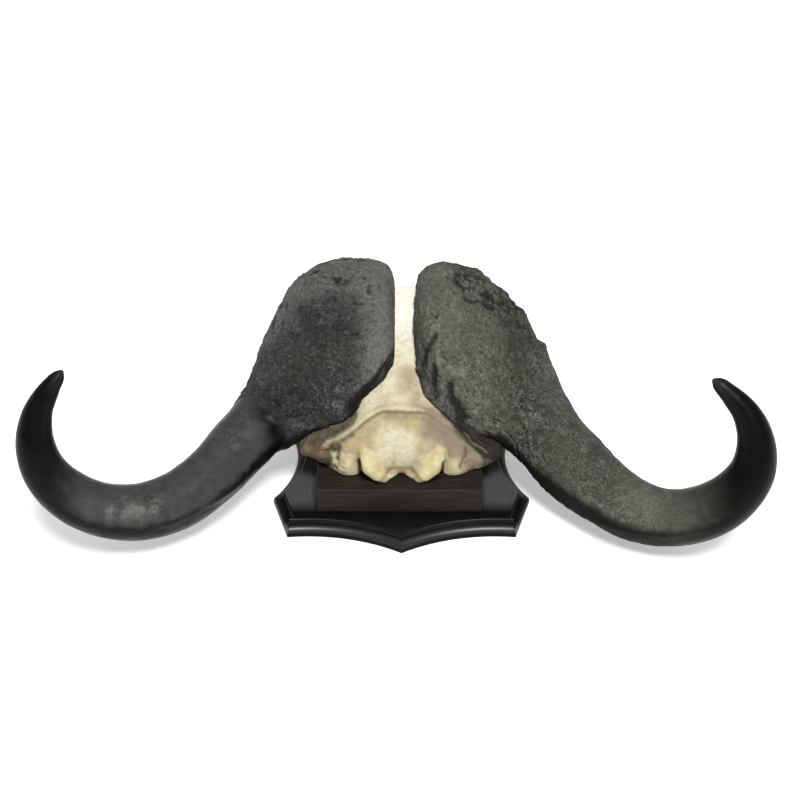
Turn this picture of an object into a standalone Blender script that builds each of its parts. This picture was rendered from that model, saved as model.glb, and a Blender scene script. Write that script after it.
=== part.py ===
"""A buffalo skull cap with both horns, on a wooden block and a shield-shaped plaque.

Metres, +Z up. The origin is the middle of the plaque's flat back, on which the mount lies.
+Z points out of the wall that the plaque would hang on, -Y points to the shield's lower tip
and the back of the skull, and +X to the right as seen from there.
Station lists and the sizes below are in millimetres, and MM turns them into metres.
"""
import math

import bmesh
import bpy
import numpy as np
from mathutils import Matrix, Vector, noise

MM = 0.001

# The clearance between pieces that touch or sit in each other.
GAP = 0.3

# The plaque: overall size, thickness and the corners of the shield, on its right half.
PLAQUE_THICKNESS = 20.0
PLAQUE_TIP_Y = -198.0
PLAQUE_TOP_Y = 198.0
LOWER_CORNER = (149.0, -165.0)
SHOULDER_LOW = (170.0, -92.0)
SHOULDER_HIGH = (170.0, 92.0)
UPPER_CORNER = (149.0, 165.0)
LOWER_BOW = 13.0
WAIST_BOW = 28.5
UPPER_BOW = 13.0
SHORT_ARC_SIDES = 8
WAIST_SIDES = 12

# The moulded edge, as the inset from the outline and the height above the back.
MOULDING = (
    (0.0, 0.0), (0.0, 5.0), (1.2, 9.0), (4.2, 12.2), (8.8, 13.5),
    (10.6, 13.5), (11.4, 16.4), (12.6, 18.8), (14.2, PLAQUE_THICKNESS),
)

# The block between the plaque and the bone.
BLOCK_WIDTH = 217.0
BLOCK_DEPTH = 288.0
BLOCK_HEIGHT = 36.0
BLOCK_CENTRE_X = -2.5
BLOCK_FRONT_Y = -138.0
BLOCK_BEVEL = 1.6
BLOCK_BEVEL_SEGMENTS = 2
BLOCK_TOP = PLAQUE_THICKNESS + GAP + BLOCK_HEIGHT

# The flat saw cut that the bone rests on, and the block of space that it takes away.
CUT_Z = BLOCK_TOP + GAP
SAW_CUT = ((-300.0, -300.0, -100.0), (300.0, 300.0, CUT_Z))

# The bosses: centre x, y, z, half width, crown above, belly below, then three angles in degrees:
# the tilt that lifts the front of the section, the heading from straight out towards the back of
# the skull, and the pitch, up or down, that the horn takes there.
LEFT_BOSS = (
    (-9.0, 56.0, 176.0, 64.0, 26.0, 8.0, 4.0, 0.0, 0.0),
    (-11.0, 56.0, 176.0, 92.0, 52.0, 22.0, 5.0, 0.0, 0.0),
    (-18.0, 56.0, 175.0, 106.0, 68.0, 30.0, 7.0, 0.0, -1.0),
    (-38.0, 54.0, 171.0, 117.0, 79.0, 34.0, 10.0, 2.0, -3.0),
    (-68.0, 48.0, 162.0, 124.0, 87.0, 36.0, 15.0, 5.0, -5.0),
    (-102.0, 36.0, 146.0, 120.0, 100.0, 40.0, 14.0, 12.0, -9.0),
    (-137.0, 2.0, 126.0, 92.0, 67.0, 42.0, 5.0, 27.0, -14.0),
    (-166.0, -33.0, 108.0, 62.0, 46.0, 40.0, 0.0, 43.0, -15.0),
    (-192.0, -60.0, 96.0, 47.0, 41.0, 37.0, 0.0, 50.0, -15.0),
)
RIGHT_BOSS = (
    (17.0, 56.0, 172.0, 62.0, 20.0, 8.0, 4.0, 0.0, 0.0),
    (19.0, 56.0, 172.0, 90.0, 37.0, 22.0, 5.0, 0.0, 0.0),
    (26.0, 56.0, 171.0, 106.0, 53.0, 30.0, 8.0, 0.0, -1.0),
    (46.0, 54.0, 166.0, 118.0, 77.0, 34.0, 11.0, 2.0, -4.0),
    (76.0, 47.0, 156.0, 124.0, 80.0, 36.0, 13.0, 5.0, -7.0),
    (112.0, 32.0, 138.0, 115.0, 70.0, 40.0, 10.0, 14.0, -12.0),
    (147.0, 0.0, 114.0, 92.0, 54.0, 42.0, 3.0, 28.0, -16.0),
    (176.0, -33.0, 95.0, 66.0, 42.0, 42.0, 0.0, 42.0, -16.0),
    (200.0, -64.0, 80.0, 54.0, 40.0, 42.0, 0.0, 50.0, -16.0),
)

# The shafts: centre x, y, z and radius, on to the tip.
LEFT_SHAFT = (
    (-214.0, -84.0, 87.0, 41.0), (-247.0, -130.0, 74.0, 38.5), (-293.0, -170.0, 62.0, 38.0),
    (-340.0, -195.0, 65.0, 36.5), (-382.0, -205.0, 78.0, 34.5), (-418.0, -205.0, 99.0, 32.5),
    (-448.0, -198.0, 133.0, 28.5), (-458.0, -188.0, 174.0, 24.0), (-451.0, -176.0, 212.0, 18.0),
    (-436.0, -168.0, 238.0, 13.0), (-423.0, -162.0, 255.0, 7.0), (-419.0, -161.0, 260.0, 2.0),
)
RIGHT_SHAFT = (
    (225.0, -95.0, 66.0, 48.0), (261.0, -138.0, 57.0, 43.0), (306.0, -178.0, 52.0, 39.5),
    (345.0, -200.0, 60.0, 36.5), (384.0, -209.0, 76.0, 35.5), (418.0, -211.0, 104.0, 33.0),
    (440.0, -204.0, 141.0, 28.6), (441.0, -193.0, 177.0, 23.5), (427.0, -181.0, 211.0, 17.5),
    (406.0, -172.0, 233.0, 12.5), (390.0, -166.0, 246.0, 7.5), (385.0, -165.0, 249.0, 2.5),
)

# The mesh of a horn, and how square its section is at two half widths.
HORN_SIDES = 28
RING_STEP = 21.0
BOSS_WIDTH = 100.0
SHAFT_WIDTH = 42.0
BOSS_POWER = 2.5
SHAFT_POWER = 2.0

# The height of the lumps on each boss, their two sizes and the share of the smaller ones.
LEFT_ROUGHNESS = 2.5
RIGHT_ROUGHNESS = 5.0
LUMP = 46.0
SMALL_LUMP = 24.0
SMALL_SHARE = 0.6

# How far each boss stands out or draws in at its lower inner corner, and the places and their reach.
LEFT_SWELL = -11.0
LEFT_SWELL_PLACES = (
    (-11.0, -34.0, 184.0, 15.0), (-15.0, -44.0, 179.0, 13.0), (-20.0, -50.0, 174.0, 13.0),
    (-30.0, -57.0, 165.0, 13.0), (-40.0, -62.0, 156.0, 13.0), (-50.0, -67.0, 148.0, 11.0),
)
RIGHT_SWELL = 12.0
RIGHT_SWELL_PLACES = (
    (30.0, -57.0, 151.0, 13.0), (38.0, -63.0, 144.0, 14.0), (48.0, -67.0, 136.0, 14.0),
    (58.0, -70.0, 129.0, 14.0), (68.0, -73.0, 122.0, 13.0),
)

# All that shapes each horn.
LEFT_HORN = (LEFT_BOSS, LEFT_SHAFT, LEFT_ROUGHNESS, LEFT_SWELL, LEFT_SWELL_PLACES)
RIGHT_HORN = (RIGHT_BOSS, RIGHT_SHAFT, RIGHT_ROUGHNESS, RIGHT_SWELL, RIGHT_SWELL_PLACES)

# The clearance of the horns in the bone.
SEAT_GAP = 0.6

# The bone's body between the horns: y, bottom half width, top height, and how boxy the arch is.
VAULT = (
    (-100.0, 84.0, 148.0, 1.3),
    (-94.0, 92.0, 156.0, 1.4),
    (-72.0, 112.0, 160.0, 1.7),
    (-30.0, 114.0, 172.0, 2.0),
    (20.0, 108.0, 186.0, 2.2),
    (80.0, 104.0, 199.0, 2.4),
    (125.0, 98.0, 204.0, 2.4),
    (148.0, 92.0, 190.0, 2.3),
    (166.0, 82.0, 164.0, 2.2),
    (182.0, 72.0, 128.0, 2.1),
    (191.0, 64.0, 96.0, 2.0),
)
VAULT_SIDES = 32
VAULT_SKIRT = 8.0

# Bone ridges and knobs, as tubes: a point and a radius for each station.
NUCHAL_CREST = (
    (-126.0, -78.0, 81.0, 8.5), (-106.0, -86.0, 92.0, 9.0), (-80.0, -90.0, 106.0, 8.0),
    (-56.0, -91.0, 122.0, 7.0), (-42.0, -92.0, 138.0, 7.0), (-25.0, -93.0, 149.0, 6.5),
    (0.0, -93.0, 151.0, 6.5), (25.0, -93.0, 149.0, 6.5), (43.0, -92.0, 136.0, 7.0),
    (60.0, -91.0, 121.0, 7.0), (80.0, -90.0, 104.0, 8.0), (104.0, -86.0, 88.0, 9.0),
    (124.0, -78.0, 78.0, 8.5),
)
CONDYLE = (
    (48.0, -107.0, 97.0, 8.5), (45.5, -113.0, 90.0, 11.5), (39.5, -117.0, 80.0, 13.0),
    (31.0, -119.0, 70.0, 10.5), (23.0, -119.0, 60.0, 5.0), (21.5, -118.0, 57.0, 4.0),
)
SIDE_PROCESS = (
    (71.0, -92.0, 102.0, 15.0), (70.0, -97.0, 84.0, 14.5), (69.0, -97.0, 70.0, 12.5),
    (69.0, -95.0, 52.0, 11.0),
)
PROCESS_FOOT = ((75.0, -96.0, 61.0, 9.0), (64.0, -97.0, 60.0, 9.0))
FLANGE = (
    (74.0, -88.0, 78.0, 14.0), (98.0, -84.0, 76.0, 13.0), (118.0, -77.0, 78.0, 11.0),
    (124.0, -60.0, 84.0, 12.0),
)
RIGHT_FLANGE = ((84.0, -90.0, 68.0, 12.0), (100.0, -86.0, 67.0, 11.0), (116.0, -78.0, 69.0, 10.5))
WING = (
    (62.0, -72.0, 110.0, 21.0), (92.0, -65.0, 99.0, 20.0), (114.0, -56.0, 92.0, 18.0),
    (126.0, -40.0, 90.0, 16.0),
)
CONDYLE_ROOT = (
    (34.0, -103.0, 100.0, 11.0), (28.0, -108.0, 86.0, 11.0), (22.0, -110.0, 72.0, 8.0),
)
BASE_LIP = ((27.0, -117.0, 63.0, 6.5), (17.0, -112.0, 61.0, 5.5), (9.0, -107.0, 62.0, 4.5))
OCCIPUT = ((0.0, -80.0, 92.0), (84.0, 30.0, 60.0))
HORN_CORE = (
    (60.0, 20.0, 118.0, 58.0), (110.0, 10.0, 106.0, 52.0), (146.0, -10.0, 98.0, 40.0),
)
ORBIT_RIM = (
    (86.0, 92.0, 56.0, 12.0), (98.0, 94.0, 80.0, 13.0), (104.0, 108.0, 98.0, 14.0),
    (104.0, 132.0, 104.0, 14.0), (98.0, 154.0, 96.0, 14.0), (88.0, 168.0, 78.0, 13.0),
    (82.0, 172.0, 52.0, 12.0),
)
BROW = ((60.0, 60.0, 150.0, 46.0), (64.0, 110.0, 138.0, 42.0), (62.0, 140.0, 112.0, 36.0))

# The bone's mesh: the sides of its round masses, the voxel that fuses them, the softening and the
# share of faces kept.
BALL_SIDES = (24, 14)
TUBE_RESOLUTION = 3
BONE_VOXEL = 4.5
BONE_SOFTENING = 4
BONE_RATIO = 0.071

# Hollows cut out of the bone: centre and half sizes.
FORAMEN = ((-1.5, -118.0, 47.0), (14.0, 44.0, 12.5))
RECESS = ((-1.5, -123.0, 68.5), (22.0, 15.0, 6.0))
SLOT_LEFT = ((-54.8, -121.0, 66.0), (3.0, 18.0, 27.0))
SLOT_RIGHT = ((54.0, -121.0, 62.0), (2.4, 18.0, 27.0))
NOTCH = ((48.5, -118.0, 52.0), (6.5, 40.0, 16.0))
ORBIT = ((116.0, 132.0, 56.0), (36.0, 27.0, 33.0))
TEMPLE = ((134.0, 22.0, 74.0), (38.0, 66.0, 42.0))


def vector(point):
    """A point in millimetres as a vector in metres."""
    return Vector(point[:3]) * MM


def mirrored(stations):
    """The same stations on the other side of the skull."""
    return tuple((-station[0],) + tuple(station[1:]) for station in stations)


def opposite(form):
    """The same ellipsoid on the other side of the skull."""
    (x, y, z), radii = form
    return (-x, y, z), radii


def new_object(name, mesh, collection):
    """An object that holds the mesh, linked to the collection."""
    part = bpy.data.objects.new(name, mesh)
    collection.objects.link(part)
    return part


def mesh_from(name, bm):
    """A mesh from the bmesh, its faces pointing out, and the bmesh freed."""
    bmesh.ops.recalc_face_normals(bm, faces=bm.faces)
    mesh = bpy.data.meshes.new(name)
    bm.to_mesh(mesh)
    bm.free()
    return mesh


def loft(bm, rings):
    """Join rings with the same number of points into one closed form, capped at both ends."""
    rows = [[bm.verts.new(point) for point in ring] for ring in rings]
    count = len(rows[0])
    for low, high in zip(rows, rows[1:]):
        for i in range(count):
            j = (i + 1) % count
            bm.faces.new((low[i], low[j], high[j], high[i]))
    bm.faces.new(rows[0][::-1])
    bm.faces.new(rows[-1])


def spline_rows(stations, step):
    """Smooth rows of values through the stations, about one for every step of length."""
    values = np.array(stations)
    gaps = np.linalg.norm(np.diff(values[:, :5], axis=0), axis=1)
    rates = np.diff(values, axis=0) / gaps[:, None]
    slopes = np.empty_like(values)
    slopes[0], slopes[-1] = rates[0], rates[-1]
    before, after = gaps[:-1, None], gaps[1:, None]
    slopes[1:-1] = (rates[:-1] * after + rates[1:] * before) / (before + after)
    rows = []
    for i, gap in enumerate(gaps):
        count = max(1, round(gap / step))
        for k in range(count):
            t = k / count
            rows.append((2 * t**3 - 3 * t**2 + 1) * values[i]
                        + (t**3 - 2 * t**2 + t) * gap * slopes[i]
                        + (3 * t**2 - 2 * t**3) * values[i + 1]
                        + (t**3 - t**2) * gap * slopes[i + 1])
    rows.append(values[-1])
    return rows


def superellipse(angle, power):
    """The unit superellipse's point at an angle."""
    c, s = math.cos(angle), math.sin(angle)
    return math.copysign(abs(c) ** (2 / power), c), math.copysign(abs(s) ** (2 / power), s)


def horn_stations(boss, shaft):
    """All stations as centre, half width, crown, belly, tilt and the direction the horn takes."""
    side = math.copysign(1.0, shaft[-1][0])
    rows = []
    for *form, heading, pitch in boss:
        heading, pitch = math.radians(heading), math.radians(pitch)
        out, back = side * math.cos(heading), -math.sin(heading)
        rows.append((*form, out * math.cos(pitch), back * math.cos(pitch), math.sin(pitch)))
    path = [boss[-1], *shaft, shaft[-1]]
    for before, station, after in zip(path, shaft, path[2:]):
        radius = station[3]
        aim = (Vector(after[:3]) - Vector(before[:3])).normalized()
        rows.append((*station[:3], radius, radius, radius, 0.0, *aim))
    return rows


def horn_relief(point, roughness):
    """How far the horn stands out at a point, in millimetres: slow lumps over short ones."""
    return roughness * (noise.noise(point / LUMP) + SMALL_SHARE * noise.noise(point / SMALL_LUMP))


def swelling(point, height, places):
    """How far the corner of a boss stands out at a point, in millimetres."""
    near = sum(math.exp(-((point - Vector(place[:3])).length / place[3]) ** 2) for place in places)
    return height * min(1.0, near)


def horn_rings(stations, roughness, swell, places):
    """Rings around the horn's axis, squarish and lumpy on the boss, round on the shaft."""
    rows = spline_rows(stations, RING_STEP)
    side = math.copysign(1.0, rows[-1][0])
    across = Vector((0.0, 1.0, 0.0))
    rings = []
    for row in rows:
        half_width, crown, belly, tilt = row[3:7]
        centre, along = Vector(row[:3]), Vector(row[7:]).normalized()
        across = (across - across.dot(along) * along).normalized()
        turn = Matrix.Rotation(side * math.radians(tilt), 3, along)
        wide, high = turn @ across, turn @ (side * along.cross(across))
        boss = min(1.0, max(0.0, (half_width - SHAFT_WIDTH) / (BOSS_WIDTH - SHAFT_WIDTH)))
        power = SHAFT_POWER + (BOSS_POWER - SHAFT_POWER) * boss
        ring = []
        for k in range(HORN_SIDES):
            a, b = superellipse(2 * math.pi * k / HORN_SIDES, power)
            spoke = wide * a * half_width + high * b * (crown if b > 0 else belly)
            point = centre + spoke
            reach = horn_relief(point, roughness * boss) + swelling(point, swell, places)
            ring.append((point + spoke.normalized() * reach) * MM)
        rings.append(ring)
    return rings


def horn(name, side, collection, grow=0.0):
    """One horn sheath, or its slightly grown form that hollows the bone."""
    boss, shaft, roughness, swell, places = side
    bm = bmesh.new()
    loft(bm, horn_rings(horn_stations(boss, shaft), roughness, swell, places))
    bmesh.ops.triangulate(bm, faces=bm.faces)
    bmesh.ops.recalc_face_normals(bm, faces=bm.faces)
    bm.normal_update()
    for vert, normal in [(vert, vert.normal.copy()) for vert in bm.verts]:
        vert.co += normal * grow * MM
    return new_object(name, mesh_from(name, bm), collection)


def add_tube(bm, stations):
    """Add a tapering tube with closed ends through the stations to the bmesh."""
    curve = bpy.data.curves.new("tube", "CURVE")
    curve.dimensions = "3D"
    curve.bevel_depth = MM
    curve.bevel_resolution = TUBE_RESOLUTION
    curve.use_fill_caps = True
    spline = curve.splines.new("POLY")
    spline.points.add(len(stations) - 1)
    for point, station in zip(spline.points, stations):
        point.co = (*vector(station), 1.0)
        point.radius = station[3]
    guide = bpy.data.objects.new("tube", curve)
    bpy.context.scene.collection.objects.link(guide)
    tube = bpy.data.meshes.new_from_object(guide.evaluated_get(bpy.context.evaluated_depsgraph_get()))
    bm.from_mesh(tube)
    bpy.data.objects.remove(guide)
    bpy.data.meshes.remove(tube)
    bpy.data.curves.remove(curve)


def add_ellipsoid(bm, form):
    """Add an ellipsoid given by its centre and half sizes to the bmesh."""
    centre, radii = form
    sides, bands = BALL_SIDES
    ball = bmesh.ops.create_uvsphere(bm, u_segments=sides, v_segments=bands, radius=1.0)["verts"]
    bmesh.ops.scale(bm, vec=Vector(radii) * MM, verts=ball)
    bmesh.ops.translate(bm, vec=vector(centre), verts=ball)


def vault_rings():
    """Arches over the saw cut, one for each station of the bone's body."""
    floor = CUT_Z - VAULT_SKIRT
    rings = []
    for y, half_width, top, power in VAULT:
        ring = []
        for k in range(VAULT_SIDES + 1):
            a, b = superellipse(math.pi * k / VAULT_SIDES, power)
            ring.append(Vector((a * half_width, y, floor + abs(b) * (top - floor))) * MM)
        rings.append(ring)
    return rings


def ellipsoid(name, hollow, collection):
    """A cutter for a hollow given by its centre and half sizes."""
    bm = bmesh.new()
    add_ellipsoid(bm, hollow)
    return new_object(name, mesh_from(name, bm), collection)


def box(name, low, high, collection):
    """A box between two corners."""
    low, high = vector(low), vector(high)
    bm = bmesh.new()
    bmesh.ops.create_cube(bm, size=1.0)
    bmesh.ops.scale(bm, vec=high - low, verts=bm.verts)
    bmesh.ops.translate(bm, vec=(low + high) / 2, verts=bm.verts)
    return new_object(name, mesh_from(name, bm), collection)


def skull_cutters(collection):
    """What shapes the bone from outside: its hollows, the saw cut and the seats of the horns."""
    cutters = [
        ellipsoid("foramen", FORAMEN, collection),
        ellipsoid("recess", RECESS, collection),
        ellipsoid("slot_right", SLOT_RIGHT, collection),
        ellipsoid("slot_left", SLOT_LEFT, collection),
        ellipsoid("notch_right", NOTCH, collection),
        ellipsoid("notch_left", opposite(NOTCH), collection),
        ellipsoid("orbit_right", ORBIT, collection),
        ellipsoid("orbit_left", opposite(ORBIT), collection),
        ellipsoid("temple_right", TEMPLE, collection),
        ellipsoid("temple_left", opposite(TEMPLE), collection),
        box("saw_cut", *SAW_CUT, collection),
        horn("seat_left", LEFT_HORN, collection, SEAT_GAP),
        horn("seat_right", RIGHT_HORN, collection, SEAT_GAP),
    ]
    for cutter in cutters:
        cutter.display_type = "WIRE"
        cutter.hide_render = True
    return cutters


def skull_cap(parts, cutters):
    """The sawn-off bone: its masses fused, softened and then cut to shape."""
    bm = bmesh.new()
    loft(bm, vault_rings())
    add_ellipsoid(bm, OCCIPUT)
    add_tube(bm, NUCHAL_CREST)
    add_tube(bm, RIGHT_FLANGE)
    for stations in (CONDYLE, CONDYLE_ROOT, BASE_LIP, SIDE_PROCESS, PROCESS_FOOT, FLANGE, WING,
                     HORN_CORE, BROW, ORBIT_RIM):
        add_tube(bm, stations)
        add_tube(bm, mirrored(stations))
    bone = new_object("skull_cap", mesh_from("skull_cap", bm), parts)
    remesh = bone.modifiers.new("Fuse", "REMESH")
    remesh.mode = "VOXEL"
    remesh.voxel_size = BONE_VOXEL * MM
    soften = bone.modifiers.new("Soften", "SMOOTH")
    soften.iterations = BONE_SOFTENING
    thin = bone.modifiers.new("Thin out", "DECIMATE")
    thin.ratio = BONE_RATIO
    for cutter in cutters:
        cut = bone.modifiers.new("Cut " + cutter.name, "BOOLEAN")
        cut.object = cutter
    return bone


def bowed(start, end, bow, count):
    """Points from start to just before end on an arc that bows to the left of the way."""
    start, end = Vector(start), Vector(end)
    chord = end - start
    left = Vector((-chord.y, chord.x)).normalized()
    radius = (chord.length_squared / 4 + bow * bow) / (2 * bow)
    centre = (start + end) / 2 + left * (bow - radius)
    half = math.asin(chord.length / 2 / radius)
    points = []
    for k in range(count):
        angle = half - 2 * half * k / count
        across = chord.normalized() * math.sin(angle)
        points.append(centre + radius * (left * math.cos(angle) - across))
    return points


def shield_outline():
    """The plaque's outline, anticlockwise from its lower tip."""
    tip, top = (0.0, PLAQUE_TIP_Y), (0.0, PLAQUE_TOP_Y)
    right = bowed(tip, LOWER_CORNER, LOWER_BOW, SHORT_ARC_SIDES)
    right += [Vector(LOWER_CORNER)]
    right += bowed(SHOULDER_LOW, SHOULDER_HIGH, WAIST_BOW, WAIST_SIDES)
    right += [Vector(SHOULDER_HIGH)]
    right += bowed(UPPER_CORNER, top, UPPER_BOW, SHORT_ARC_SIDES)
    left = [Vector((-point.x, point.y)) for point in reversed(right[1:])]
    return right + [Vector(top)] + left


def inset(outline, distance):
    """The outline moved inwards by a distance, its corners mitred."""
    moved = []
    for i, point in enumerate(outline):
        before = (point - outline[i - 1]).normalized()
        after = (outline[(i + 1) % len(outline)] - point).normalized()
        inward = Vector((-before.y - after.y, before.x + after.x)).normalized()
        slant = inward.dot(Vector((-after.y, after.x)))
        moved.append(point + inward * distance / slant)
    return moved


def shield_plaque(parts):
    """The shield-shaped board, its moulded edge stacked from insets of the outline."""
    outline = shield_outline()
    bm = bmesh.new()
    loft(bm, [[Vector((p.x, p.y, height)) * MM for p in inset(outline, depth)]
              for depth, height in MOULDING])
    return new_object("shield_plaque", mesh_from("shield_plaque", bm), parts)


def mounting_block(parts):
    """The plain wooden block, its edges slightly eased."""
    low = (BLOCK_CENTRE_X - BLOCK_WIDTH / 2, BLOCK_FRONT_Y, PLAQUE_THICKNESS + GAP)
    high = (BLOCK_CENTRE_X + BLOCK_WIDTH / 2, BLOCK_FRONT_Y + BLOCK_DEPTH, BLOCK_TOP)
    block = box("mounting_block", low, high, parts)
    bevel = block.modifiers.new("Eased edges", "BEVEL")
    bevel.width = BLOCK_BEVEL * MM
    bevel.segments = BLOCK_BEVEL_SEGMENTS
    return block


def material(name, colour, roughness):
    """A plain surface of one colour."""
    surface = bpy.data.materials.new(name)
    surface.use_nodes = True
    shader = surface.node_tree.nodes["Principled BSDF"]
    shader.inputs["Base Color"].default_value = (*colour, 1.0)
    shader.inputs["Roughness"].default_value = roughness
    shader.inputs["Metallic"].default_value = 0.0
    return surface


def new_collection(name):
    """A new collection in the scene."""
    group = bpy.data.collections.new(name)
    bpy.context.scene.collection.children.link(group)
    return group


def main():
    """Clear the scene and build the mount."""
    for old in list(bpy.data.objects):
        bpy.data.objects.remove(old)
    parts = new_collection("Buffalo skull mount")
    cutters = skull_cutters(new_collection("Cutters"))
    frame = new_object("mount", None, parts)
    plaque = shield_plaque(parts)
    block = mounting_block(parts)
    bone = skull_cap(parts, cutters)
    left_horn = horn("horn_left", LEFT_HORN, parts)
    right_horn = horn("horn_right", RIGHT_HORN, parts)
    surfaces = {
        plaque: material("black_wood", (0.022, 0.022, 0.020), 0.42),
        block: material("brown_wood", (0.040, 0.028, 0.020), 0.55),
        bone: material("bone", (0.70, 0.64, 0.45), 0.55),
        left_horn: material("horn_grey", (0.050, 0.051, 0.047), 0.5),
        right_horn: material("horn_brown", (0.070, 0.064, 0.052), 0.5),
    }
    for piece, surface in surfaces.items():
        piece.parent = frame
        piece.data.materials.append(surface)
    for piece in (bone, left_horn, right_horn):
        piece.data.shade_smooth()


main()
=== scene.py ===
"""The looks of the buffalo skull mount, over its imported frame.

Metres, +Z up, the frame's own axes. Numbers below are millimetres and MM makes them metres.
"""
import math
from itertools import product

import bmesh
import bpy
import numpy as np
from mathutils import Matrix, Vector, noise


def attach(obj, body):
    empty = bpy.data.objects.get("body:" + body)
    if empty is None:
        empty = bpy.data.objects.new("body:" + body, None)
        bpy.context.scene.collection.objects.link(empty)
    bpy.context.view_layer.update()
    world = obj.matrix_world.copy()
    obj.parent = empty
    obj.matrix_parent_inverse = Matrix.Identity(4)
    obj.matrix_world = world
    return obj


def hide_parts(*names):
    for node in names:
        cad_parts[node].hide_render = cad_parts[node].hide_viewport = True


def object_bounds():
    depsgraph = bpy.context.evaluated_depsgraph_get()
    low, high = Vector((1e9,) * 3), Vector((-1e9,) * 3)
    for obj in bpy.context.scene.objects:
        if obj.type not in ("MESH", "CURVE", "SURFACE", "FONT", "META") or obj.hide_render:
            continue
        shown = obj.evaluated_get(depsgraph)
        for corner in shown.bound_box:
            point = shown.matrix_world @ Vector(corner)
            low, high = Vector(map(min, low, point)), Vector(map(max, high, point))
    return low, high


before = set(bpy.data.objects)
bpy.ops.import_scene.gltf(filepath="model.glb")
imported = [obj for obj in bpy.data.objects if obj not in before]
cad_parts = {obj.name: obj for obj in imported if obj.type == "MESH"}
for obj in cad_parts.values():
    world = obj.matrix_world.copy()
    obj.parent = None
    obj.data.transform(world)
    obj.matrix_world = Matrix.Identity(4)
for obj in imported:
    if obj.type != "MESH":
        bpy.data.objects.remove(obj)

CAD_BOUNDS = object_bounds()
MM = 0.001

# The board and the block, with the sizes of their solids.
PLAQUE_TIP_Y = -198
PLAQUE_TOP_Y = 198
LOWER_CORNER = (149, -165)
SHOULDER_LOW = (170, -92)
SHOULDER_HIGH = (170, 92)
UPPER_CORNER = (149, 165)
LOWER_BOW = 13
WAIST_BOW = 28.5
UPPER_BOW = 13
ARC_SIDES = 40
BLOCK_LOW = (-111, -138, 20.3)
BLOCK_HIGH = (106, 150, 56.3)
CUT_Z = 56.6

# The horns, as their solids have them. A boss station is centre, half width, crown, belly, tilt,
# heading and pitch. A shaft station is centre and radius.
LEFT_BOSS = (
    (-9, 56, 176, 64, 26, 8, 4, 0, 0), (-11, 56, 176, 92, 52, 22, 5, 0, 0),
    (-18, 56, 175, 106, 68, 30, 7, 0, -1), (-38, 54, 171, 117, 79, 34, 10, 2, -3),
    (-68, 48, 162, 124, 87, 36, 15, 5, -5), (-102, 36, 146, 120, 100, 40, 14, 12, -9),
    (-137, 2, 126, 92, 67, 42, 5, 27, -14), (-166, -33, 108, 62, 46, 40, 0, 43, -15),
    (-192, -60, 96, 47, 41, 37, 0, 50, -15),
)
RIGHT_BOSS = (
    (17, 56, 172, 62, 20, 8, 4, 0, 0), (19, 56, 172, 90, 37, 22, 5, 0, 0),
    (26, 56, 171, 106, 53, 30, 8, 0, -1), (46, 54, 166, 118, 77, 34, 11, 2, -4),
    (76, 47, 156, 124, 80, 36, 13, 5, -7), (112, 32, 138, 115, 70, 40, 10, 14, -12),
    (147, 0, 114, 92, 54, 42, 3, 28, -16), (176, -33, 95, 66, 42, 42, 0, 42, -16),
    (200, -64, 80, 54, 40, 42, 0, 50, -16),
)
LEFT_SHAFT = (
    (-214, -84, 87, 41), (-247, -130, 74, 38.5), (-293, -170, 62, 38), (-340, -195, 65, 36.5),
    (-382, -205, 78, 34.5), (-418, -205, 99, 32.5), (-448, -198, 133, 28.5), (-458, -188, 174, 24),
    (-451, -176, 212, 18), (-436, -168, 238, 13), (-423, -162, 255, 7), (-419, -161, 260, 2),
)
RIGHT_SHAFT = (
    (225, -95, 66, 48), (261, -138, 57, 43), (306, -178, 52, 39.5), (345, -200, 60, 36.5),
    (384, -209, 76, 35.5), (418, -211, 104, 33), (440, -204, 141, 28.6), (441, -193, 177, 23.5),
    (427, -181, 211, 17.5), (406, -172, 233, 12.5), (390, -166, 246, 7.5), (385, -165, 249, 2.5),
)
BOSS_WIDTH = 100
SHAFT_WIDTH = 42
BOSS_POWER = 2.5
SHAFT_POWER = 2
LEFT_ROUGHNESS = 2.5
RIGHT_ROUGHNESS = 5
LEFT_SWELL = -11
LEFT_SWELL_PLACES = (
    (-11, -34, 184, 15), (-15, -44, 179, 13), (-20, -50, 174, 13), (-30, -57, 165, 13), (-40, -62, 156, 13),
    (-50, -67, 148, 11),
)
RIGHT_SWELL = 12
RIGHT_SWELL_PLACES = (
    (30, -57, 151, 13), (38, -63, 144, 14), (48, -67, 136, 14), (58, -70, 129, 14), (68, -73, 122, 13),
)
HORN_LUMPS = ((46, 1), (24, 0.6))
LEFT_HORN = (LEFT_BOSS, LEFT_SHAFT, LEFT_ROUGHNESS, LEFT_SWELL, LEFT_SWELL_PLACES)
RIGHT_HORN = (RIGHT_BOSS, RIGHT_SHAFT, RIGHT_ROUGHNESS, RIGHT_SWELL, RIGHT_SWELL_PLACES)

# The fine mesh of the horns. Each ring that rounds an end has a scale and a share of its length.
HORN_SIDES = 288
BOSS_STEP = 2.2
SHAFT_STEP = 3.2
END_RINGS = ((0.93, 0.25), (0.8, 0.5), (0.6, 0.75), (0.35, 0.93), (0.1, 1))
TIP_LENGTH = 0.7
ROOT_SETTLE = 9
TIP_SETTLE = 14
INSIDE = 0.05

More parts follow.
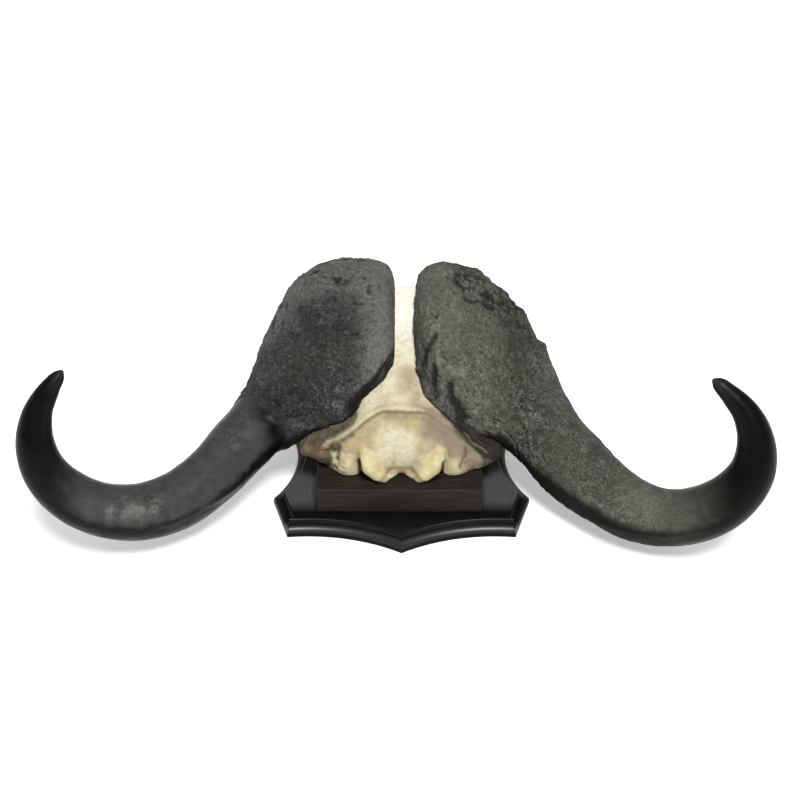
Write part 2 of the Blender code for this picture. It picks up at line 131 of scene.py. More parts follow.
# The bone's masses. The vault's stations are y, half width, top and power, a tube's are centre and
# radius, and an ellipsoid is a centre and its radii.
VAULT = (
    (-100, 84, 148, 1.3), (-94, 92, 156, 1.4), (-72, 112, 160, 1.7), (-30, 114, 172, 2),
    (20, 108, 186, 2.2), (80, 104, 199, 2.4), (125, 98, 204, 2.4), (148, 92, 190, 2.3), (166, 82, 164, 2.2),
    (182, 72, 128, 2.1), (191, 64, 96, 2),
)
VAULT_FLOOR = 48.6
NUCHAL_CREST = (
    (-126, -78, 81, 8.5), (-106, -86, 92, 9), (-80, -90, 106, 8), (-56, -91, 122, 7), (-42, -92, 138, 7),
    (-25, -93, 149, 6.5), (0, -93, 151, 6.5), (25, -93, 149, 6.5), (43, -92, 136, 7), (60, -91, 121, 7),
    (80, -90, 104, 8), (104, -86, 88, 9), (124, -78, 78, 8.5),
)
CONDYLE = (
    (48, -107, 97, 8.5), (45.5, -113, 90, 11.5), (39.5, -117, 80, 13), (31, -119, 70, 10.5),
    (23, -119, 60, 5), (21.5, -118, 57, 4),
)
SIDE_PROCESS = ((71, -92, 102, 15), (70, -97, 84, 14.5), (69, -97, 70, 12.5), (69, -95, 52, 11))
PROCESS_FOOT = ((75, -96, 61, 9), (64, -97, 60, 9))
FLANGE = ((74, -88, 78, 14), (98, -84, 76, 13), (118, -77, 78, 11), (124, -60, 84, 12))
RIGHT_FLANGE = ((84, -90, 68, 12), (100, -86, 67, 11), (116, -78, 69, 10.5))
WING = ((62, -72, 110, 21), (92, -65, 99, 20), (114, -56, 92, 18), (126, -40, 90, 16))
CONDYLE_ROOT = ((34, -103, 100, 11), (28, -108, 86, 11), (22, -110, 72, 8))
BASE_LIP = ((27, -117, 63, 6.5), (17, -112, 61, 5.5), (9, -107, 62, 4.5))
OCCIPUT = ((0, -80, 92), (84, 30, 60))
HORN_CORE = ((60, 20, 118, 58), (110, 10, 106, 52), (146, -10, 98, 40))
ORBIT_RIM = (
    (86, 92, 56, 12), (98, 94, 80, 13), (104, 108, 98, 14), (104, 132, 104, 14), (98, 154, 96, 14),
    (88, 168, 78, 13), (82, 172, 52, 12),
)
BROW = ((60, 60, 150, 46), (64, 110, 138, 42), (62, 140, 112, 36))
FORAMEN = ((-1.5, -118, 47), (14, 44, 12.5))
RECESS = ((-1.5, -123, 68.5), (22, 15, 6))
SLOT_LEFT = ((-54.8, -121, 66), (3, 18, 27))
SLOT_RIGHT = ((54, -121, 62), (2.4, 18, 27))
NOTCH = ((48.5, -118, 52), (6.5, 40, 16))
ORBIT = ((116, 132, 56), (36, 27, 33))
TEMPLE = ((134, 22, 74), (38, 66, 42))
VAULT_EASE = 0.85

BONE_STEP = 1.9
CORE_REACH = 136
BONE_LOW = (-140, -140, CUT_Z - 2.5 * BONE_STEP)
BONE_HIGH = (140, 197, 214)

# The lattice noise.
CELL_PRIMES = (73856093, 19349663, 83492791)
SEED_PRIME = 40503
STIRS = ((13, 1274126177), (15, 668265263))
LOW_32_BITS = 0xFFFFFFFF
LOW_24_BITS = 0xFFFFFF
WAVE_GAIN = 1.6
CELL_JITTER = 0.45


def hashed(cell, seed):
    """A repeatable number from -1 to 1 for each lattice cell."""
    h = seed * SEED_PRIME
    for axis, prime in enumerate(CELL_PRIMES):
        h = h ^ (cell[:, axis] * prime)
    for shift, prime in STIRS:
        h = ((h ^ (h >> shift)) * prime) & LOW_32_BITS
    h = h ^ (h >> 16)
    return (h & LOW_24_BITS) / (LOW_24_BITS / 2) - 1


def waves(points, size, seed=0):
    """Smooth noise from about -1 to 1 with lumps about size across."""
    scaled = points / size
    cell = np.floor(scaled).astype(np.int64)
    part = scaled - cell
    blend = part ** 3 * (part * (part * 6 - 15) + 10)
    total = np.zeros(len(points))
    for corner in product((0, 1), repeat=3):
        here = cell + corner
        away = part - corner
        value = sum(hashed(here, 3 * seed + axis) * away[:, axis] for axis in range(3))
        weight = np.prod(np.where(corner, blend, 1 - blend), axis=1)
        total += weight * value
    return total * WAVE_GAIN


def fractal(points, size, octaves, seed=0, gain=0.5):
    """Noise with ever finer lumps on top."""
    total = np.zeros(len(points))
    for level in range(octaves):
        total += gain ** level * waves(points, size * 0.5 ** level, seed + 17 * level)
    return total


def cells(points, size, seed=0):
    """Distances to the nearest and second nearest of points scattered one to a cell."""
    scaled = points / size
    cell = np.floor(scaled).astype(np.int64)
    first = np.full(len(points), np.inf)
    second = first
    for offset in product((-1, 0, 1), repeat=3):
        here = cell + offset
        seeds = np.stack([0.5 + CELL_JITTER * hashed(here, 5 * seed + axis) for axis in range(3)], 1)
        gap = np.linalg.norm(here + seeds - scaled, axis=1)
        second = np.minimum(second, np.maximum(first, gap))
        first = np.minimum(first, gap)
    return first, second


def unit(value):
    """The value kept from 0 to 1."""
    return np.clip(value, 0, 1)


def smooth(value, low, high):
    """A soft step from 0 at low to 1 at high."""
    t = unit((value - low) / (high - low))
    return t * t * (3 - 2 * t)


def bell(value, width):
    """1 where the value is 0, falling off on both sides."""
    return np.exp(-(value / width) ** 2)


def either(*shares):
    """How far any of the shares from 0 to 1 holds."""
    return 1 - np.prod([1 - share for share in shares], axis=0)


def near_line(points, line):
    """Distance to a polyline and the share of its length there."""
    line = np.array(line, float)
    legs = np.linalg.norm(np.diff(line, axis=0), axis=1)
    before = np.concatenate([[0], np.cumsum(legs)])
    best = np.full(len(points), np.inf)
    share = np.zeros(len(points))
    for i, leg in enumerate(legs):
        way = line[i + 1] - line[i]
        t = unit((points - line[i]) @ way / leg ** 2)
        gap = np.linalg.norm(points - line[i] - t[:, None] * way, axis=1)
        nearer = gap < best
        best = np.where(nearer, gap, best)
        share = np.where(nearer, (before[i] + t * leg) / before[-1], share)
    return best, share


def furrow(points, line, width, fade=0.15, last_width=None):
    """1 along a polyline, falling off at its sides and fading at its ends."""
    gap, share = near_line(points, line)
    if last_width is not None:
        width = width + (last_width - width) * share
    return bell(gap, width) * smooth(share, 0, fade) * smooth(1 - share, 0, fade)


def spots(points, centres):
    """The sum of soft round spots, each a centre and a radius."""
    total = np.zeros(len(points))
    for *centre, radius in centres:
        total += np.exp(-np.sum((points - centre) ** 2, axis=1) / radius ** 2)
    return total


def marks(points, centres):
    """The same spots, kept from 0 to 1."""
    return unit(spots(points, centres))


def finish_piece(name, mesh, surface, node, slot):
    """Link the piece, dress it and let it stand for its solid."""
    piece = bpy.data.objects.new(name, mesh)
    bpy.context.scene.collection.objects.link(piece)
    mesh.materials.append(surface)
    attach(piece, "root")
    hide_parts(node)


def mesh_of(name, points, faces, masks=None):
    """A smooth-shaded mesh from points in millimetres, with one float attribute per mask."""
    mesh = bpy.data.meshes.new(name)
    mesh.from_pydata([tuple(p) for p in points * MM], [], [tuple(f) for f in faces])
    mesh.update()
    for label, values in (masks or {}).items():
        layer = mesh.attributes.new(label, "FLOAT", "POINT")
        layer.data.foreach_set("value", np.asarray(values, np.float32))
    mesh.shade_smooth()
    return mesh


def spline_rows(stations, steps):
    """Smooth rows of values through the stations, at each leg's own step."""
    values = np.array(stations)
    gaps = np.linalg.norm(np.diff(values[:, :5], axis=0), axis=1)
    rates = np.diff(values, axis=0) / gaps[:, None]
    slopes = np.empty_like(values)
    slopes[0], slopes[-1] = rates[0], rates[-1]
    before, after = gaps[:-1, None], gaps[1:, None]
    slopes[1:-1] = (rates[:-1] * after + rates[1:] * before) / (before + after)
    rows = []
    for i, gap in enumerate(gaps):
        count = max(1, round(gap / steps[i]))
        for k in range(count):
            t = k / count
            rows.append((2 * t**3 - 3 * t**2 + 1) * values[i]
                        + (t**3 - 2 * t**2 + t) * gap * slopes[i]
                        + (3 * t**2 - 2 * t**3) * values[i + 1]
                        + (t**3 - t**2) * gap * slopes[i + 1])
    rows.append(values[-1])
    return rows


def horn_stations(boss, shaft):
    """All stations as centre, half width, crown, belly, tilt and the direction the horn takes."""
    side = math.copysign(1, shaft[-1][0])
    rows = []
    for *form, heading, pitch in boss:
        heading, pitch = math.radians(heading), math.radians(pitch)
        out, back = side * math.cos(heading), -math.sin(heading)
        rows.append((*form, out * math.cos(pitch), back * math.cos(pitch), math.sin(pitch)))
    path = [boss[-1], *shaft, shaft[-1]]
    for before, station, after in zip(path, shaft, path[2:]):
        radius = station[3]
        aim = (Vector(after[:3]) - Vector(before[:3])).normalized()
        rows.append((*station[:3], radius, radius, radius, 0, *aim))
    return rows


def horn_grid(side_of_skull):
    """The horn's plain surface as rings of points."""
    boss, shaft, roughness, swell, places = side_of_skull
    stations = horn_stations(boss, shaft)
    steps = [BOSS_STEP] * (len(boss) - 1) + [SHAFT_STEP] * len(shaft)
    rows = spline_rows(stations, steps)
    side = math.copysign(1, rows[-1][0])
    across = Vector((0, 1, 0))
    angles = 2 * np.pi * np.arange(HORN_SIDES) / HORN_SIDES
    cosine, sine = np.cos(angles), np.sin(angles)
    rings = []
    for row in rows:
        half_width, crown, belly, tilt = row[3:7]
        centre, along = Vector(row[:3]), Vector(row[7:]).normalized()
        across = (across - across.dot(along) * along).normalized()
        turn = Matrix.Rotation(side * math.radians(tilt), 3, along)
        wide, high = turn @ across, turn @ (side * along.cross(across))
        share = min(1, max(0, (half_width - SHAFT_WIDTH) / (BOSS_WIDTH - SHAFT_WIDTH)))
        power = 2 / (SHAFT_POWER + (BOSS_POWER - SHAFT_POWER) * share)
        a = np.sign(cosine) * np.abs(cosine) ** power
        b = np.sign(sine) * np.abs(sine) ** power
        spokes = np.outer(a * half_width, wide) + np.outer(b * np.where(b > 0, crown, belly), high)
        points = np.array(centre) + spokes
        reach = [sum(weight * noise.noise(Vector(p) / size) for size, weight in HORN_LUMPS)
                 for p in points]
        outward = spokes / np.linalg.norm(spokes, axis=1)[:, None]
        points += outward * (roughness * share * np.array(reach) + swell * marks(points, places))[:, None]
        rings.append(points)
    return np.array(rings)


def close_rings(rings):
    """Add shrinking rings at both ends, so that the ends are rounded and evenly meshed."""
    def ends(ring, beyond):
        centre = ring.mean(axis=0)
        return [centre + (ring - centre) * scale + beyond * lift for scale, lift in END_RINGS]
    tip = rings[-1].mean(axis=0) - rings[-2].mean(axis=0)
    tip = tip / np.linalg.norm(tip) * TIP_LENGTH
    return np.concatenate([ends(rings[0], np.zeros(3))[::-1], rings, ends(rings[-1], tip)])


def grid_normals(rings):
    """Outward normals of a grid of rings."""
    around = np.roll(rings, -1, axis=1) - np.roll(rings, 1, axis=1)
    along = np.gradient(rings, axis=0)
    normals = np.cross(around, along)
    length = np.linalg.norm(normals, axis=2, keepdims=True)
    normals = normals / np.maximum(length, 1e-9)
    centre = rings.mean(axis=1, keepdims=True)
    middle = len(rings) // 2
    if np.sum(normals[middle] * (rings[middle] - centre[middle])) < 0:
        normals = -normals
    return normals


def grid_faces(count, sides, flip):
    """Quads between the rings and a fan at each end."""
    rows = np.arange(count - 1)[:, None] * sides
    here = np.arange(sides)[None, :]
    after = (here + 1) % sides
    quads = np.stack([rows + here, rows + after, rows + sides + after, rows + sides + here], -1)
    faces = [tuple(q) for q in quads.reshape(-1, 4)]
    first = tuple(range(sides))
    last = tuple((count - 1) * sides + i for i in range(sides))
    faces += [first[::-1], last]
    return [face[::-1] for face in faces] if flip else faces


# The marks of the left horn: a line is its points, a spot a centre and a radius.
LEFT_RIM = (
    (-13, 60, 236), (-11, 30, 205), (-11, 0, 186), (-11, -36, 184), (-22, -53, 164), (-41, -67, 148),
    (-64, -77, 131), (-87, -79, 115), (-107, -76, 101), (-133, -78, 97),
)
LEFT_PITS = (
    (-120, 81, 249, 2.2), (-100, 69, 254, 1.8), (-104, 57, 252, 2.2), (-96, 40, 250, 2.9),
    (-86, 38, 249, 2.9), (-128, 22, 235, 2.7), (-122, 6, 233, 3.4), (-73, 57, 252, 2.9),
    (-71, 92, 255, 2.4), (-59, 82, 254, 2.1), (-44, 38, 249, 2.4), (-41, 28, 247, 2.2), (-36, 15, 243, 2.1),
    (-39, 5, 241, 2.1), (-35, -10, 234, 2.1), (-88, -21, 232, 3.4), (-78, -24, 229, 2.7),
    (-72, -20, 230, 2.2), (-122, -14, 224, 3.2), (-53, -32, 224, 2.4), (-65, -4, 237, 2.1),
)
PIT_STRETCH = (0.8, 1.3, 1)
LEFT_KEEL = (
    (-203, -135, 71), (-221, -158, 72), (-257, -190, 70), (-294, -214, 64), (-341, -231, 78),
    (-366, -236, 83), (-396, -238, 95), (-426, -234, 115),
)
LEFT_FISSURES = (
    ((-104, 21, 245), (-96, 24, 246), (-89, 27, 247), (-81, 25, 246)),
    ((-80, 58, 253), (-73, 63, 253), (-67, 65, 253), (-63, 74, 254)),
    ((-59, 69, 253), (-51, 70, 253), (-47, 64, 252)), ((-67, -29, 225), (-62, -27, 227), (-54, -27, 227)),
    ((-60, 18, 244), (-53, 18, 244), (-47, 19, 245)), ((-84, 47, 251), (-77, 53, 252), (-72, 57, 252)),
    ((-108, 71, 253), (-101, 69, 254), (-95, 69, 254)),
)
LEFT_SHAFT_PATCH = (
    (-222, -105, 112, 16), (-205, -80, 118, 12), (-318, -205, 92, 13), (-352, -215, 100, 11),
)
LEFT_FLAP = ((-62, -78, 126, 9),)
# Painted highlights: glints along the left shaft's keel.
LEFT_PAINTED_GLINTS = (
    (-312, -216, 84, 8), (-329, -223, 86, 9), (-347, -231, 87, 8), (-339, -221, 93, 8), (-365, -231, 95, 7),
)
LEFT_CORNER = ((-6, -33, 183, 13), (-11, -40, 176, 12))
LEFT_DIM = ((-132, -68, 151, 20), (-117, -77, 137, 20), (-152, -69, 147, 20))
# The boss ends on a line: these shares of x and y add up to the last number there.
LEFT_BOSS_END = (-0.61, -0.79, 155.2)
# Where the normals face this way, the boss's lower rim is painted in shadow.
LEFT_UNDERSIDE = (0.45, -0.25, -0.85)

# The marks of the right horn. A furrow is its first width, last width, depth and points.
RIGHT_RIM = (
    (21, 117, 205), (19, 64, 196), (18, 43, 190), (17, 10, 182), (18, -18, 178), (24, -54, 160),
    (41, -70, 147), (68, -80, 124), (99, -76, 100), (128, -78, 84),
)
RIGHT_FURROWS = (
    (3.6, 5.8, 0.75,
     ((47, -17, 226), (42, -27, 220), (37, -31, 212), (33, -34, 203), (31, -37, 193), (28, -44, 180))),
    (3, 3, 0.5, ((32, -29, 208), (29, -35, 198), (28, -42, 187))),
    (3, 7.5, 1,
     ((41, -45, 200), (41, -52, 193), (42, -61, 184), (43, -62, 169), (45, -68, 157), (49, -67, 144),
      (54, -67, 134), (58, -68, 126))),
    (3.4, 9, 1,
     ((61, -65, 185), (63, -71, 175), (65, -71, 161), (69, -79, 154), (75, -79, 142), (81, -77, 128),
      (84, -76, 120))),
    (2.6, 3, 0.4, ((51, -68, 170), (50, -69, 158), (53, -70, 146), (59, -72, 138))),
)
RIGHT_WELTS = (
    ((51, -25, 224), (45, -40, 213), (46, -53, 200), (52, -64, 186), (54, -70, 168), (56, -74, 152)),
    ((59, -72, 166), (60, -74, 153), (64, -74, 137)),
)
RIGHT_PITS = (
    (77, 84, 244, 4.6), (73, 75, 245, 3.6), (78, 69, 243, 4.6), (76, 93, 245, 3.6), (70, 46, 241, 2.8),
    (62, 82, 246, 2.8), (45, 6, 231, 2.8), (106, 65, 230, 3.4), (85, 43, 236, 3.4), (90, 41, 233, 3),
    (109, 50, 224, 3.4), (118, 50, 219, 3.4), (123, 54, 217, 3), (59, -72, 138, 3.8), (82, 61, 240, 2.6),
    (95, 66, 236, 2.8),
)
RIGHT_CRACKS = (
    ((106, 105, 232), (114, 100, 229), (119, 92, 227)),
    ((114, 81, 230), (117, 68, 224), (122, 66, 218), (130, 71, 212), (138, 81, 207)),
    ((102, 62, 232), (110, 65, 228), (117, 68, 224)), ((85, 43, 236), (93, 42, 232), (104, 51, 228)),
)
RIGHT_LUMPS = (
    (124, 74, 219, 6), (114, 86, 231, 5.5), (98, 85, 238, 6), (99, 57, 232, 5.5), (130, 106, 213, 6),
    (109, 76, 231, 5),
)
RIGHT_KNOBS = ((158, 84, 188, 10), (188, 52, 154, 11), (194, 26, 144, 10))
RIGHT_NOTCHES = ((169, 54, 173, 8), (147, 104, 196, 7), (203, 4, 130, 12))
# Painted highlights: light specks on the boss and glints along the shaft's ridge.
RIGHT_GLINTS = (
    (51, -50, 201, 3), (61, -58, 194, 3), (77, -59, 189, 6), (95, -76, 156, 5), (128, -82, 121, 3.5),
    (241, -174, 73, 3), (247, -180, 71, 2.5), (255, -186, 69, 3), (268, -197, 66, 3), (280, -207, 62, 2.5),
)
RIGHT_WORN = ((300, -190, 84, 26), (318, -205, 84, 26), (334, -212, 86, 22))
RIGHT_KEEL = (
    (120, -84, 88), (150, -92, 70), (188, -122, 46), (232, -163, 37), (273, -202, 47), (332, -234, 59),
    (374, -243, 78), (420, -241, 120),
)
# Where the normals face this way, the boss's lower rim is painted in shadow.
RIGHT_UNDERSIDE = (-0.45, -0.25, -0.85)

# What the relief of both horns shares.
KEEL_WIDTH = 7
KEEL_HEIGHT = 2.8
RIM_WIDTH = 3.2
SCALE_SIZE = 7.5
SCALE_GAP = 0.5
PIT_REACH = 0.45


def horn_grain(points, warp_seed, size, seed, stretch, patch_size):
    """The points bent and shaken, and the grain, scales and pits of weathered horn."""
    warped = points + 2.5 * waves(points, 22, warp_seed)[:, None]
    shaken = points + 1.6 * fractal(points, 6, 2, warp_seed + 1)[:, None]
    grain = fractal(warped * (1, 0.8, 1), size, 3, seed, 0.65)
    near, after = cells(warped * (1, stretch, 1), SCALE_SIZE, seed + 1)
    scales = np.clip(after - near, 0, SCALE_GAP) / SCALE_GAP
    pits = unit(PIT_REACH - near) / PIT_REACH * smooth(waves(points, patch_size, seed + 6), 0, 0.5)
    return warped, shaken, grain, scales, pits


def left_relief(points, normals):
    """Height of the left horn's fine relief and its masks."""
    x, y, z = points.T
    warped, shaken, grain, scales, pits = horn_grain(points, 5, 11, 3, 0.75, 40)
    by_x, by_y, end = LEFT_BOSS_END
    past = by_x * x + by_y * y - end + 5 * waves(points, 18, 2)
    rough = 1 - smooth(past, -3, 9)
    inside = smooth(x, -206, -172)
    lip = bell(past + 9, 8) - 0.9 * bell(past - 10, 9)
    band, _ = near_line(points, LEFT_RIM)
    low_band, _ = near_line(points, LEFT_RIM[3:])
    shadow = smooth(normals @ LEFT_UNDERSIDE + 0.08 * waves(points, 8, 10), 0.28, 0.56)
    shadow *= smooth(x, -165, -135)
    calm = smooth(x, -74, -24) * smooth(z, 135, 170)
    stretched_pits = [(*np.multiply(centre, PIT_STRETCH), radius) for *centre, radius in LEFT_PITS]
    craters = marks(shaken * PIT_STRETCH, stretched_pits)
    fissures = sum(furrow(shaken, line, 1.7) for line in LEFT_FISSURES)
    folds = 1 - np.abs(waves(warped * (0.8, 0.35, 0.6), 9, 7))
    upper = smooth(y, 0, 60)
    streaks = waves(points * (0.3, 0.45, 1), 8, 31)
    patch = marks(points, LEFT_SHAFT_PATCH)
    # Painted highlights: the glints take the rough horn's pale tone.
    worn_and_glints = marks(shaken, LEFT_PAINTED_GLINTS)
    plain = 1 - 0.55 * calm
    height = rough * plain * (1.5 * grain + 1.2 * (scales - 0.6) - 1.4 * pits + 2 * upper * (folds - 0.7))
    height -= rough * (2 * craters + 1.6 * fissures)
    height += 2.2 * lip * inside + 4 * spots(points, LEFT_FLAP) - 4 * marks(points, LEFT_CORNER)
    height += (1 - rough) * (0.3 * streaks + (0.12 + 0.8 * patch) * grain)
    height += KEEL_HEIGHT * furrow(points, LEFT_KEEL, KEEL_WIDTH)
    cracks = 0.6 * (1 - scales) + upper * smooth(folds, 0.6, 0.25)
    shade = inside * bell(past - 17, 16) + smooth(-x, 385, 440) * (0.87 + 0.13 * smooth(z, 90, 190))
    masks = {
        "rough": unit(rough + 0.6 * patch + 0.8 * worn_and_glints),
        "pit": unit((0.8 * pits + 0.85 * cracks) * plain + 0.65 * craters + fissures) * rough,
        # The dark rim line joined with the painted shadow under the rim.
        "rim_and_shadow": either(bell(band, RIM_WIDTH), bell(low_band, 9), shadow),
        "even": np.zeros(len(points)),
        # Paler on the upper boss and its smooth inner band, partly the horn's own tone and partly painted
        # light; the glints are painted highlights.
        "pale": unit(calm + 0.95 * upper + 0.06) * rough + 0.9 * worn_and_glints,
        # Painted shade: faces that turn down go near black, while the upper faces keep their dusty grey.
        "dust_and_underside_shade": smooth(normals[:, 2] + 0.1 * waves(points, 12, 8) + 0.5 * rough, 0, 0.3),
        "shade": unit(shade + 0.38 * marks(points, LEFT_DIM)),
    }
    return height, masks


def right_relief(points, normals):
    """Height of the right horn's fine relief and its masks."""
    x, y, z = points.T
    _, shaken, grain, scales, pits = horn_grain(points, 25, 10, 13, 1, 34)
    boss = 1 - smooth(x, 150, 215)
    rough = 1 - smooth(x, 280, 380)
    craters = marks(shaken, RIGHT_PITS)
    cracks = sum(furrow(shaken, line, 2.4) for line in RIGHT_CRACKS)
    edge = smooth(y + 0.35 * x, 60, 110) * smooth(x, 52, 92) * boss
    near, after = cells(points + 8 * fractal(points, 26, 2, 27)[:, None], 13, 24)
    lumps = np.clip(after - near, 0, SCALE_GAP) / SCALE_GAP
    tall = smooth(waves(points, 30, 29), -0.35, 0.45)
    band, along = near_line(points, RIGHT_RIM)
    low_band, _ = near_line(points, RIGHT_RIM[6:] + RIGHT_KEEL[:3])
    lanes = np.stack([band + 3 * waves(points, 30, 33), 42 * along, 0 * band], 1)
    fibres = 1 - np.abs(fractal(lanes, 5, 2, 37))
    fibrous = boss * smooth(along, 0.25, 0.5) * (1 - smooth(band, 32, 60)) * smooth(band, 2, 8)
    furrows = sum(depth * furrow(shaken, line, first, last_width=last)
                  for first, last, depth, line in RIGHT_FURROWS)
    welts = sum(furrow(shaken, line, 3) for line in RIGHT_WELTS)
    shadow = smooth(normals @ RIGHT_UNDERSIDE + 0.08 * waves(points, 8, 34), 0.25, 0.55)
    shadow *= 1 - smooth(x, 150, 180)
    height = boss * (1.4 * grain + scales - 0.6 - 1.4 * pits)
    height -= 2.6 * craters + 2.6 * cracks
    height += 2.6 * marks(points, RIGHT_LUMPS) + 7 * marks(points, RIGHT_KNOBS)
    height -= 5.5 * marks(points, RIGHT_NOTCHES)
    height += 1.8 * fibrous * (fibres - 0.65)
    height += edge * (3 * lumps * tall - 1 + 2.6 * waves(points, 34, 28))
    height += 2.4 * waves(points, 38, 30) * bell(band, 22)
    height += 1.8 * welts - 3.6 * furrows
    height += (1 - boss) * (0.12 + 0.6 * rough) * grain
    height += KEEL_HEIGHT * furrow(points, RIGHT_KEEL, KEEL_WIDTH)
    gaps = 0.45 * (1 - scales) + 0.9 * edge * smooth(lumps, 0.4, 0)
    gaps += 0.8 * fibrous * smooth(fibres, 0.55, 0.2)
    pale = 0.45 * spots(points, RIGHT_WORN) + 0.45 * (1 - smooth(x, 105, 160)) * (1 - smooth(y, 100, 130))
    pale += 0.35 * (1 - smooth(x, 55, 85)) * smooth(z, 205, 225)
    # Painted shade: the shaft goes near black where its faces turn down; the boss keeps its dusty grey.
    dust_and_underside_shade = normals[:, 2] + 0.05 * waves(points, 12, 8) + 0.6 * (1 - smooth(x, 120, 200))
    masks = {
        "rough": rough,
        "pit": unit(0.8 * pits * boss + craters + cracks + 1.2 * furrows + gaps * boss),
        # The dark rim line joined with the painted shadow under the rim.
        "rim_and_shadow": either(bell(band, RIM_WIDTH), bell(low_band, 8), shadow),
        "even": 0.35 * smooth(x, 130, 215),
        # The glints and the welts' lighter ridges are painted highlights.
        "pale": unit(pale + marks(shaken, RIGHT_GLINTS) + 0.3 * welts) * rough,
        "dust_and_underside_shade": smooth(dust_and_underside_shade, 0, 0.3),
        "shade": smooth(x, 345, 420),
    }
    return height, masks


def horn(name, side_of_skull, relief, surface, slot):
    """One finished horn: the plain surface, its relief and its material."""
    rings = close_rings(horn_grid(side_of_skull))
    normals = grid_normals(rings)
    ends = len(END_RINGS)
    normals[:ends] = normals[ends]
    normals[-ends:] = normals[-ends - 1]
    normals = normals.reshape(-1, 3)
    points = rings.reshape(-1, 3)
    height, masks = relief(points, normals)
    settle = np.ones(len(rings))
    settle[:ROOT_SETTLE] = np.linspace(0, 1, ROOT_SETTLE)
    settle[-TIP_SETTLE:] = np.linspace(1, 0, TIP_SETTLE)
    height = height * np.repeat(settle, HORN_SIDES)
    points = points + normals * height[:, None]
    low, high = (np.array(corner) / MM for corner in CAD_BOUNDS)
    points = np.clip(points, low + INSIDE, high - INSIDE)
    faces = grid_faces(len(rings), HORN_SIDES, name.startswith("horn_left"))
    mesh = mesh_of(name, points, faces, masks)
    finish_piece(name, mesh, surface, *slot)


def mirrored(stations):
    """The same stations on the other side of the skull."""
    return tuple((-station[0],) + tuple(station[1:]) for station in stations)


def opposite(form):
    """The same ellipsoid on the other side of the skull."""
    (x, y, z), radii = form
    return (-x, y, z), radii


def melt(a, b, reach):
    """The smooth union of two distance fields."""
    h = unit(0.5 + 0.5 * (b - a) / reach)
    return b + (a - b) * h - reach * h * (1 - h)


def carve(a, b, reach):
    """The first field with the second one smoothly cut away."""
    return -melt(-a, b, reach)


def tube_field(space, stations):
    """Distance to a tapering tube."""
    best = np.inf
    for start, end in zip(stations, stations[1:]):
        a, b = np.array(start[:3]), np.array(end[:3])
        way = b - a
        t = unit(((space - a) @ way) / (way @ way))
        away = space - (a + t[..., None] * way)
        field = np.sqrt(np.einsum("...i,...i", away, away)) - (start[3] + t * (end[3] - start[3]))
        best = np.minimum(best, field)
    return best


def ball_field(space, form):
    """Distance to an ellipsoid."""
    centre, radii = (np.array(values) for values in form)
    away = (space - centre) / radii
    reach = np.sqrt(np.einsum("...i,...i", away, away))
    steep = away / radii
    slope = np.sqrt(np.einsum("...i,...i", steep, steep))
    return reach * (reach - 1) / np.maximum(slope, 1e-6)


def vault_field(space):
    """Distance to the arched body of the bone."""
    stations = np.array(VAULT)
    x, y, z = np.abs(space[..., 0]), space[..., 1], space[..., 2]
    half_width, top, power = (np.interp(y, stations[:, 0], stations[:, k]) for k in (1, 2, 3))
    rise = top - VAULT_FLOOR
    up = np.maximum(z - VAULT_FLOOR, 0) / rise
    field = ((x / half_width) ** power + up ** power) ** (1 / power) - 1
    field = field * np.minimum(half_width, rise) * VAULT_EASE
    return np.maximum(field, np.maximum(stations[0, 0] - y, y - stations[-1, 0]))


def bone_field(space):
    """Distance to the whole cap, above the saw cut."""
    def both(field, stations, reach):
        field = melt(field, tube_field(space, stations), reach)
        return melt(field, tube_field(space, mirrored(stations)), reach)

    field = vault_field(space)
    field = melt(field, ball_field(space, OCCIPUT), 10)
    for stations, reach in ((BROW, 16), (HORN_CORE, 14), (ORBIT_RIM, 9), (WING, 8), (FLANGE, 8),
                            (SIDE_PROCESS, 9), (PROCESS_FOOT, 4), (CONDYLE_ROOT, 9)):
        field = both(field, stations, reach)
    for stations in (RIGHT_FLANGE, NUCHAL_CREST):
        field = melt(field, tube_field(space, stations), 8)
    for hollow in (RECESS, NOTCH, opposite(NOTCH)):
        field = carve(field, ball_field(space, hollow), 2)
    for stations, reach in ((CONDYLE, 6), (BASE_LIP, 3)):
        field = both(field, stations, reach)
    for hollow, reach in ((FORAMEN, 2), (SLOT_RIGHT, 1), (SLOT_LEFT, 1), (ORBIT, 7),
                          (opposite(ORBIT), 7), (TEMPLE, 12), (opposite(TEMPLE), 12)):
        field = carve(field, ball_field(space, hollow), reach)
    field = np.maximum(field, np.abs(space[..., 0]) - CORE_REACH)
    return np.maximum(field, CUT_Z - space[..., 2])


